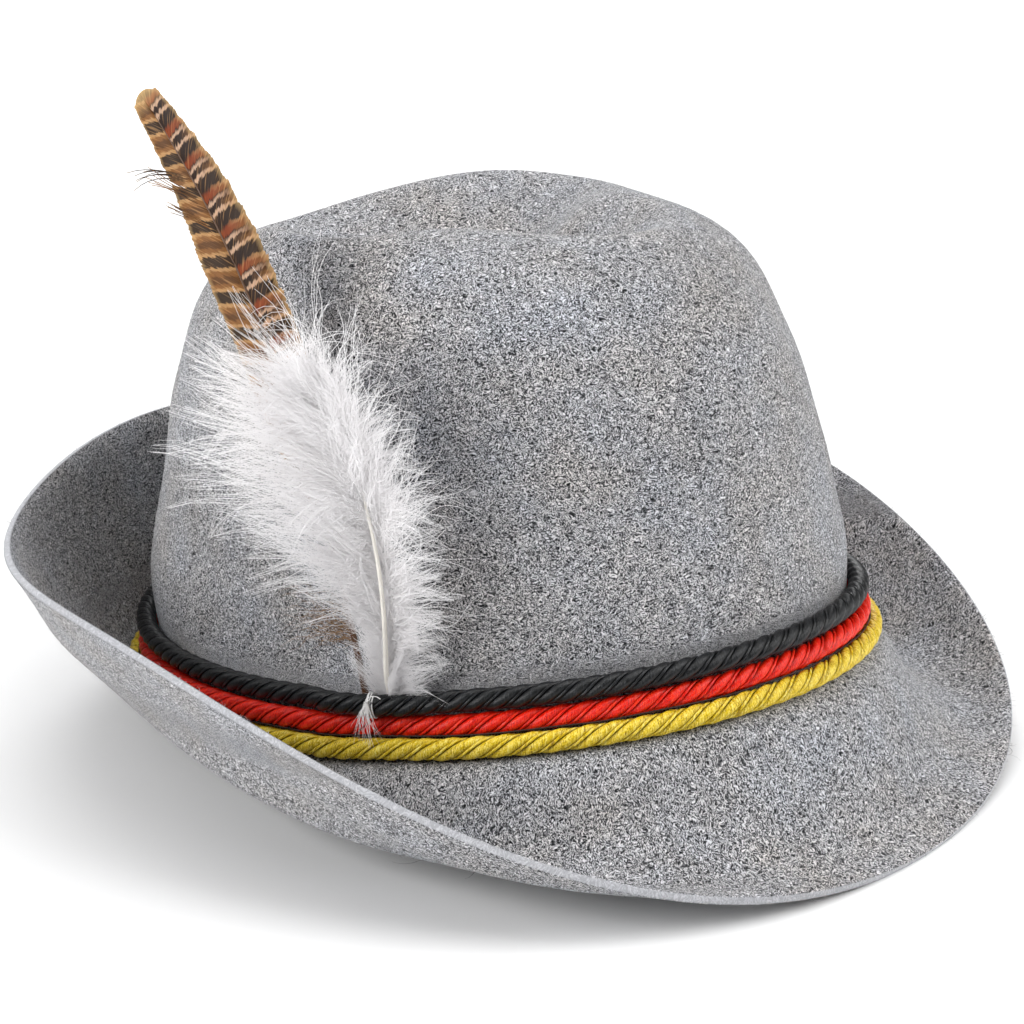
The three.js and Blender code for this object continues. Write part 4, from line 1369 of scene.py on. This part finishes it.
@dataclass
class MarabouPlume:
    """The white down plume: a cream quill with long soft barbs in tufts, each with finer down on it."""

    hat: FeltHat
    length: float = 108.0
    quill_width: float = 1.4
    quill_stop: float = 0.9
    quill_end: float = 0.35
    quill_bow: float = 2.6
    lean: Lean = Lean((-14, 60), (-14, 14), 2.0)
    beside: float = -3.0
    # The close down, the long spikes, the tufts by the cord and the locks that cover the quill.
    kinds: tuple[TuftKind, ...] = (
        TuftKind(110, 22, (0.02, 0.8), (0.3, 0.75), 20.0, 10.0, (0.1, 0.6), (4.0, 10.0), 1.0, 0.07),
        TuftKind(340, 7, (0.05, 0.79), (0.7, 1.12), 16.0, 6.0, (0.72, 1.0), (2.0, 12.0), 1.0, 0.1),
        TuftKind(12, 26, (0.01, 0.08), (0.8, 1.2), 12.0, 9.0, (0.4, 0.9), (14.0, 8.0), 1.25, 0.08),
        TuftKind(110, 18, (0.44, 0.84), (0.3, 0.6), 38.0, 14.0, (0.2, 0.7), (34.0, 10.0), 0.3, 0.07),
    )
    barb_steps: int = 11
    barbules: int = 46000
    barbule_half_width: float = 0.04
    wisps: int = 64
    wisp_barbs: int = 5
    off_felt: float = 0.7
    wall_levels: int = 24
    wall_columns: int = 12
    places: tuple[float, ...] = (0.02, 0.12, 0.2, 0.28, 0.4, 0.5, 0.6, 0.7, 0.8, 0.9, 1.0)
    back_length: tuple[float, ...] = (15, 15, 20, 32, 45, 51, 48, 42, 34, 23, 12)
    back_angle: tuple[float, ...] = (18, 26, 42, 58, 62, 54, 44, 38, 34, 28, 18)
    back_turn: tuple[float, ...] = (10, 14, 18, 20, 22, 24, 24, 24, 22, 18, 14)
    front_length: tuple[float, ...] = (16, 15, 16, 18, 20, 19, 18, 17, 14, 11, 8)
    front_angle: tuple[float, ...] = (20, 30, 38, 46, 48, 44, 42, 40, 36, 30, 30)
    front_turn: tuple[float, ...] = (22, 26, 26, 24, 22, 20, 20, 20, 20, 20, 14)

    def __post_init__(self) -> None:
        """Places the quill behind the top cord."""
        self.quill = Quill(self.hat, self.length, self.lean, self.beside, self.quill_width / 2 + QUILL_GAP)

    def shape_at(self, along: Array, side: Array) -> tuple[Array, Array, Array]:
        """Gives the length, angle and turn of the barbs at places along the quill."""
        back = [np.interp(along, self.places, row)
                for row in (self.back_length, self.back_angle, self.back_turn)]
        front = [np.interp(along, self.places, row)
                 for row in (self.front_length, self.front_angle, self.front_turn)]
        length, angle, turn = (np.where(side > 0, one, other) for one, other in zip(back, front))
        return length, angle, turn

    def tufted(self, draw: np.random.Generator, kind: TuftKind) -> Batch:
        """Grows the long barbs in tufts on both sides of the quill.

        Args:
            draw: The source of random numbers.
            kind: What the tufts are like.

        Returns:
            The barbs.
        """
        side = np.where(draw.random(kind.number) < 0.6, 1.0, -1.0)
        along = between(kind.along, draw.beta(1.15, 1.05, kind.number))
        length, angle, turn = self.shape_at(along, side)
        length = length * draw.uniform(*kind.reach, kind.number)
        angle = angle * kind.leaning + draw.normal(0, kind.spread, kind.number) * np.where(side > 0, 1, 2)
        turn = turn + draw.normal(0, 1.5 * kind.spread, kind.number)
        lift = np.maximum(draw.normal(*kind.lift, kind.number), -4)
        fall = lift + draw.normal(6, 10, kind.number)
        wave = np.stack([draw.uniform(0, 18, kind.number), draw.uniform(*ANY_PHASE, kind.number)])
        guides, _ = grow(self.quill, along, side, angle, turn, lift, fall, length, self.barb_steps, wave)
        pick = np.repeat(np.arange(kind.number), kind.barbs)
        number = len(pick)
        own, across = grow(
            self.quill, np.clip(along[pick] + draw.normal(0, 0.02, number), 0.015, 1), side[pick],
            angle[pick] + draw.normal(0, kind.parting, number),
            turn[pick] + draw.normal(0, 2 * kind.parting, number), lift[pick] + draw.normal(0, 9, number),
            fall[pick] + draw.normal(0, 9, number), length[pick] * draw.uniform(0.6, 1.06, number),
            self.barb_steps, np.stack([draw.uniform(2, 22, number), draw.uniform(*ANY_PHASE, number)]))
        shares = np.linspace(0, 1, self.barb_steps)
        hold = (draw.uniform(*kind.hold, (number, 1)) * shares[None] ** 0.8)[..., None]
        paths = own * (1 - hold) + guides[pick] * hold
        widths = kind.half_width * (1 - 0.7 * shares)[None] * draw.uniform(0.6, 1.4, (number, 1))
        return Batch(paths, widths, across)

    def wispy(self, draw: np.random.Generator) -> Batch:
        """Grows the loose wisps, bundles that part and curl away over the front and the top."""
        steps, bundles = 15, self.wisps
        along = np.sort(draw.uniform(0.2, 0.86, bundles))
        base = np.stack([draw.uniform(20, 66, bundles), draw.normal(0, 45, bundles),
                         draw.uniform(4, 30, bundles), draw.uniform(14, 38, bundles)])
        pick = np.repeat(np.arange(bundles), self.wisp_barbs)
        number = len(pick)
        part = draw.normal(0, 42, number)
        paths, across = grow(
            self.quill, along[pick], np.full(number, -1.0), base[0][pick] + draw.normal(0, 4, number),
            base[1][pick] + part, base[2][pick], base[2][pick] + draw.normal(0, 12, number),
            base[3][pick] * draw.uniform(0.7, 1.1, number), steps,
            np.stack([draw.uniform(2, 30, number), draw.uniform(*ANY_PHASE, number)]))
        widths = 0.1 * (1 - 0.65 * np.linspace(0, 1, steps))[None] * np.ones((number, 1))
        return Batch(paths, widths, across)

    def fluff(self, draw: np.random.Generator, carriers: Array) -> Batch:
        """Grows the fine down on the long barbs.

        Args:
            draw: The source of random numbers.
            carriers: The long barbs' paths.

        Returns:
            The down.
        """
        number, steps = self.barbules, 3
        which = draw.integers(0, len(carriers), number)
        spot = draw.beta(1.0, 2.1, number) * (self.barb_steps - 1.001)
        low = spot.astype(int)
        share = (spot - low)[:, None]
        root = carriers[which, low] * (1 - share) + carriers[which, low + 1] * share
        ahead = unit(carriers[which, low + 1] - carriers[which, low])
        beside = unit(np.cross(ahead, self.quill.out)) * np.where(draw.random(number) < 0.5, 1, -1)[:, None]
        heading = unit(ahead + beside * draw.uniform(0.4, 1.3, (number, 1))
                       + 0.4 * draw.normal(0, 1, (number, 3)))
        length = (draw.uniform(1.4, 4.5, number) * (1 - 0.6 * spot / self.barb_steps))[:, None]
        bent = unit(heading + 0.5 * ahead + 0.25 * draw.normal(0, 1, (number, 3)))
        middle = root + heading * length / 2
        paths = np.stack([root, middle, middle + bent * length / 2], axis=1)
        across = np.repeat(unit(np.cross(heading, self.quill.out))[:, None], steps, axis=1)
        widths = self.barbule_half_width * np.broadcast_to([1.0, 0.8, 0.35], (number, steps))
        return Batch(paths, widths, across)

    def clear(self, batch: Batch) -> Batch:
        """Keeps barbs off the crown by pushing them out to the felt's outer face."""
        paths = batch.paths
        form = self.hat.form
        angle = np.arctan2(-paths[..., 0], -paths[..., 1])
        reach = np.hypot(paths[..., 0], paths[..., 1])
        levels = np.linspace(0, form.crown_height, self.wall_levels + 1)
        angles = np.linspace(0, np.pi, self.wall_columns + 1)
        rows = form.wall(angles, 8)[:50]
        walls = np.array([np.interp(levels, rows[:, c, 2], np.hypot(rows[:, c, 0], rows[:, c, 1]))
                          for c in range(len(angles))])
        column = np.clip(np.abs(angle) / np.pi, 0, 0.9999) * self.wall_columns
        row = np.clip(paths[..., 2] / form.crown_height, 0, 0.9999) * self.wall_levels
        left, low = column.astype(int), row.astype(int)
        x, y = column - left, row - low
        wall = (walls[left, low] * (1 - x) * (1 - y) + walls[left + 1, low] * x * (1 - y)
                + walls[left, low + 1] * (1 - x) * y + walls[left + 1, low + 1] * x * y)
        push = np.maximum(1 + (wall + self.off_felt - reach) / np.maximum(reach, 1), 1)
        inside = paths[..., 2] < form.crown_height * 0.95
        pushed = paths.copy()
        pushed[..., :2] *= np.where(inside, push, 1)[..., None]
        return Batch(pushed, batch.widths, batch.across)

    def dress(self) -> list[bpy.types.Object]:
        """Builds the plume's quill, barbs and down.

        Returns:
            The pieces.
        """
        draw = np.random.default_rng(23)
        batches = [self.clear(self.tufted(draw, kind)) for kind in self.kinds]
        fluff = self.clear(self.fluff(draw, np.concatenate([batch.paths for batch in batches])))
        batches.append(self.clear(self.wispy(draw)))
        stand = self.hat.form.stand
        points, faces = joined([batch.ribbons() for batch in batches])
        tone = np.concatenate([
            np.tile(np.repeat(np.linspace(0, 1, batch.paths.shape[1]), 2), len(batch.paths))
            for batch in batches])
        white = Down("marabou_barb", "#eeecec", "#fdfcfd").material()
        barbs = mesh_piece("marabou_barbs", stand(points), [faces], white, {"tone": tone})
        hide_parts("marabou_plume")
        points, faces = fluff.ribbons()
        down = mesh_piece("marabou_fluff", stand(points), [faces], white,
                          {"tone": np.full(len(points), 0.8)})
        points, faces = self.quill.shaft(0.0, self.quill_stop, self.quill_width, self.quill_end,
                                         self.quill_bow)
        shaft = mesh_piece("marabou_shaft", stand(points), [faces],
                           Horn("marabou_quill_horn", "#f6f1e8").material())
        for piece in (barbs, down, shaft):
            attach(piece, "root")
        return [barbs, down, shaft]


@dataclass
class Threads:
    """The dark thread sewn between the two lower cords, which also stands in as a painted shadow line in
    the groove there, and the white one that ties the feathers in.
    """

    hat: FeltHat
    black: TwistedCord
    red: TwistedCord
    yellow: TwistedCord
    sewn_width: float = 0.4
    sewn_out: float = 1.35
    tie_angle: float = 70.0
    tie_width: float = 0.42
    tie_turns: float = 3.2
    tie_steps: int = 90
    knot_out: float = 3.1
    knot_up: float = 1.7
    knot_steps: int = 60
    bow_steps: int = 24
    frayed_ends: int = 26
    frayed_length: tuple[float, float] = (6.5, 11.5)
    frayed_out: float = 0.9

    def loop(self, cord: TwistedCord, angle: float) -> tuple[Array, Array, Array]:
        """Gives a cord's middle and its directions along and out at an angle from the front."""
        knots = cord.middles()
        spot = angle / 360 * len(knots)
        low = int(spot)
        share = spot - low
        middle = knots[low] * (1 - share) + knots[(low + 1) % len(knots)] * share
        along = unit(knots[(low + 1) % len(knots)] - knots[low])
        return middle, along, unit(middle * np.array([1, 1, 0]))

    def sewn(self) -> bpy.types.Object:
        """Builds the dark thread in the groove between the red and the yellow cord: a real thread that is
        also a painted shadow line.
        """
        red, yellow = self.red.middles(), self.yellow.middles()
        down = unit(yellow - red)
        along = unit(np.roll(red, -1, axis=0) - np.roll(red, 1, axis=0))
        out = np.cross(along, down)
        out *= np.sign((out * red * np.array([1, 1, 0])).sum(-1).mean())
        count = len(red)
        turn = np.arange(count) * 2 * np.pi / count
        depth = self.sewn_out + 0.3 * np.sin(17 * turn) + 0.2 * np.sin(11 * turn + 1)
        # The dark thread lies where the groove's shadow falls and stands in for that shadow too.
        knots = (red + yellow) / 2 + out * depth[:, None] + down * (0.12 * np.sin(23 * turn))[:, None]
        line = FeltForm.curve(np.concatenate([knots[-1:], knots, knots[:2]]), 8)[8:-8]
        points, faces = tube(line, np.full(len(line), self.sewn_width / 2), 6)
        finish = SatinRayon("cotton_thread_and_shadow_line", "#120a09", "#2a1a18", "#4a3430", roughness=0.6)
        piece = mesh_piece("sewn_thread_and_shadow_line", self.hat.form.stand(points), [faces], finish.material(),
                           {"yarn": points, "unshaded_share": np.ones(len(points))})
        return piece

    def tie(self) -> bpy.types.Object:
        """Builds the white thread round the black cord, its knot and its frayed ends."""
        draw = np.random.default_rng(31)
        middle, along, out = self.loop(self.black, self.tie_angle)
        up = unit(np.cross(out, along) * np.sign(np.cross(out, along)[2]))
        share = np.linspace(0, 1, self.tie_steps)
        turn = 2 * np.pi * self.tie_turns * share
        reach = self.black.diameter / 2 + self.tie_width / 2 + 0.1 * np.sin(5 * turn)
        drift = 0.8 * np.sin(4.1 * share + 0.5) - 0.3
        wound = (middle + along * drift[:, None] + out * (reach * np.cos(turn))[:, None]
                 + up * (reach * np.sin(turn))[:, None])
        parts = [tube(wound, np.full(self.tie_steps, self.tie_width / 2), 6)]
        knot = middle + out * self.knot_out + up * self.knot_up
        spin = np.linspace(0, 4.6 * np.pi, self.knot_steps)
        ball = knot + np.stack([0.55 * np.cos(spin), 0.5 * np.sin(1.3 * spin + 1),
                                0.6 * np.sin(spin)], axis=-1)
        parts.append(tube(ball, np.full(self.knot_steps, self.tie_width / 2.2), 6))
        arc = np.linspace(0.3, 2.6, self.bow_steps)
        bow = (knot + up[None] * (1.6 * np.sin(arc)[:, None])
               - along[None] * (2.1 * (1 - np.cos(arc)))[:, None])
        parts.append(tube(bow, np.full(self.bow_steps, self.tie_width / 3), 5))
        number, steps = self.frayed_ends, 9
        spots = np.linspace(0, 1, steps)[None, :, None]
        start = knot + draw.normal(0, 0.25, (number, 1, 3))
        fall = draw.uniform(*self.frayed_length, (number, 1, 1))
        lean = draw.normal(0.1, 0.28, (number, 1, 1))
        curl = draw.normal(0, 0.5, (number, 1, 1))
        bulge = self.frayed_out + 1.6 * np.sin(2.6 * spots + 0.2)
        paths = (start - up * fall * spots + along * (lean * fall * spots + curl * np.sin(5 * spots))
                 + out * (bulge - self.frayed_out))
        widths = np.broadcast_to(0.09 * (1 - 0.6 * spots[..., 0]), (number, steps))
        parts.append(ribbons(paths, widths, np.broadcast_to(along, paths.shape)))
        points, faces = joined(parts)
        piece = mesh_piece("tying_thread", self.hat.form.stand(points), [faces],
                           Down("cotton_thread_white", "#f2f0ee", "#fbfafa", 0.15).material(),
                           {"tone": np.full(len(points), 0.6)})
        return piece

    def dress(self) -> list[bpy.types.Object]:
        """Builds both threads.

        Returns:
            The pieces.
        """
        made = [self.sewn(), self.tie()]
        for piece in made:
            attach(piece, "root")
        return made


@dataclass(frozen=True)
class Lamp:
    """A square lamp: its place and target, its size in metres and its power in watts."""

    name: str
    place: tuple[float, float, float]
    target: tuple[float, float, float]
    size: float
    power: float

    def hang(self) -> None:
        """Hangs the lamp, turned to its target."""
        lamp = bpy.data.lights.new(self.name, "AREA")
        lamp.size = self.size
        lamp.energy = self.power
        hung = bpy.data.objects.new(self.name, lamp)
        hung.location = self.place
        hung.rotation_euler = (Vector(self.target) - Vector(self.place)).to_track_quat("-Z", "Y").to_euler()
        bpy.context.scene.collection.objects.link(hung)


@dataclass
class Studio:
    """The pale floor, the soft light and the camera."""

    lamps: tuple[Lamp, ...] = (
        Lamp("key", (0.35, -0.9, 0.95), (0, 0, 0.06), 0.9, 10.5),
        Lamp("low", (0.55, -1.0, 0.35), (0, 0, 0.06), 0.9, 3.8),
        Lamp("side", (-1.2, 0.5, 0.6), (0, 0, 0.06), 0.9, 17.4),
        Lamp("top", (-0.1, 0.1, 1.3), (0, 0, 0.06), 0.9, 7.8),
        Lamp("backdrop", (1.5, 1.3, 0.9), (1.5, 1.2, 0), 1.4, 36.0),
    )
    room_strength: float = 0.07
    floor_half: float = 3.0
    camera_at: tuple[float, float, float] = (-0.49855, -0.39652, 0.2659)
    looks_at: tuple[float, float, float] = (0.05672, 0.04461, 0.03567)
    roll: float = 0.34
    lens: float = 87.31
    sensor: float = 36.0

    def floor(self) -> None:
        """Lays a pale matt floor."""
        half = self.floor_half / MM
        corners = np.array([[-half, -half, 0], [half, -half, 0], [half, half, 0], [-half, half, 0]])
        made, _, shader = new_material("floor_paper_matt", {"Roughness": 0.9})
        shader.inputs["Base Color"].default_value = linear("#f8f8f8")
        mesh_piece("floor", corners, [np.array([[0, 1, 2, 3]])], made)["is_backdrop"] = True

    def light(self) -> None:
        """Hangs large soft lamps and brightens the room, with colours shown as they are."""
        bpy.context.scene.view_settings.view_transform = "Standard"
        world = bpy.data.worlds.new("studio")
        world.use_nodes = True
        room = world.node_tree.nodes["Background"]
        room.inputs["Color"].default_value = linear("#f8fafc")
        room.inputs["Strength"].default_value = self.room_strength
        bpy.context.scene.world = world
        for lamp in self.lamps:
            lamp.hang()

    def camera(self) -> None:
        """Sets the camera at the viewing angle."""
        lens = bpy.data.cameras.new("camera")
        lens.lens = self.lens
        lens.sensor_width = self.sensor
        lens.clip_start = 0.01
        eye = bpy.data.objects.new("camera", lens)
        heading = (Vector(self.looks_at) - Vector(self.camera_at)).to_track_quat("-Z", "Y").to_matrix()
        turned = heading @ Matrix.Rotation(math.radians(self.roll), 3, "Z")
        eye.matrix_world = Matrix.Translation(self.camera_at) @ turned.to_4x4()
        bpy.context.scene.collection.objects.link(eye)
        bpy.context.scene.camera = eye


def main() -> None:
    """Builds the hat and the studio in order and reports each piece."""
    logging.basicConfig(level=logging.INFO, format="%(message)s")
    studio = Studio()
    studio.camera()
    studio.floor()
    studio.light()
    form = FeltForm()
    hat = FeltHat(form)
    made = [hat.dress(), *hat.dress_nap()]
    black = TwistedCord("cord_black", "black_rayon",
                        SatinRayon("rayon_floss_black", "#040405", "#101112", "#34363a"), hat, 17.0, 0.4)
    red = TwistedCord("cord_red", "red_rayon",
                      SatinRayon("rayon_floss_red", "#a80600", "#f21200", "#ff5028"), hat, 18.0, 1.7)
    yellow = TwistedCord("cord_yellow", "yellow_rayon",
                         SatinRayon("rayon_floss_yellow", "#8c6a02", "#ecca12", "#fff490"), hat, 20.0, 2.6)
    made += [cord.dress() for cord in (black, red, yellow)]
    made += Threads(hat, black, red, yellow).dress()
    made += PheasantFeather(hat).dress()
    made += MarabouPlume(hat).dress()
    for piece in made:
        log.info("%s: %d faces", piece.name, len(piece.data.polygons))


if __name__ == "__main__":
    main()
    sizes = {"cad": CAD_BOX, "visual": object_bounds()}
    ({name: [[float(number) for number in corner] for corner in box]
               for name, box in sizes.items()})
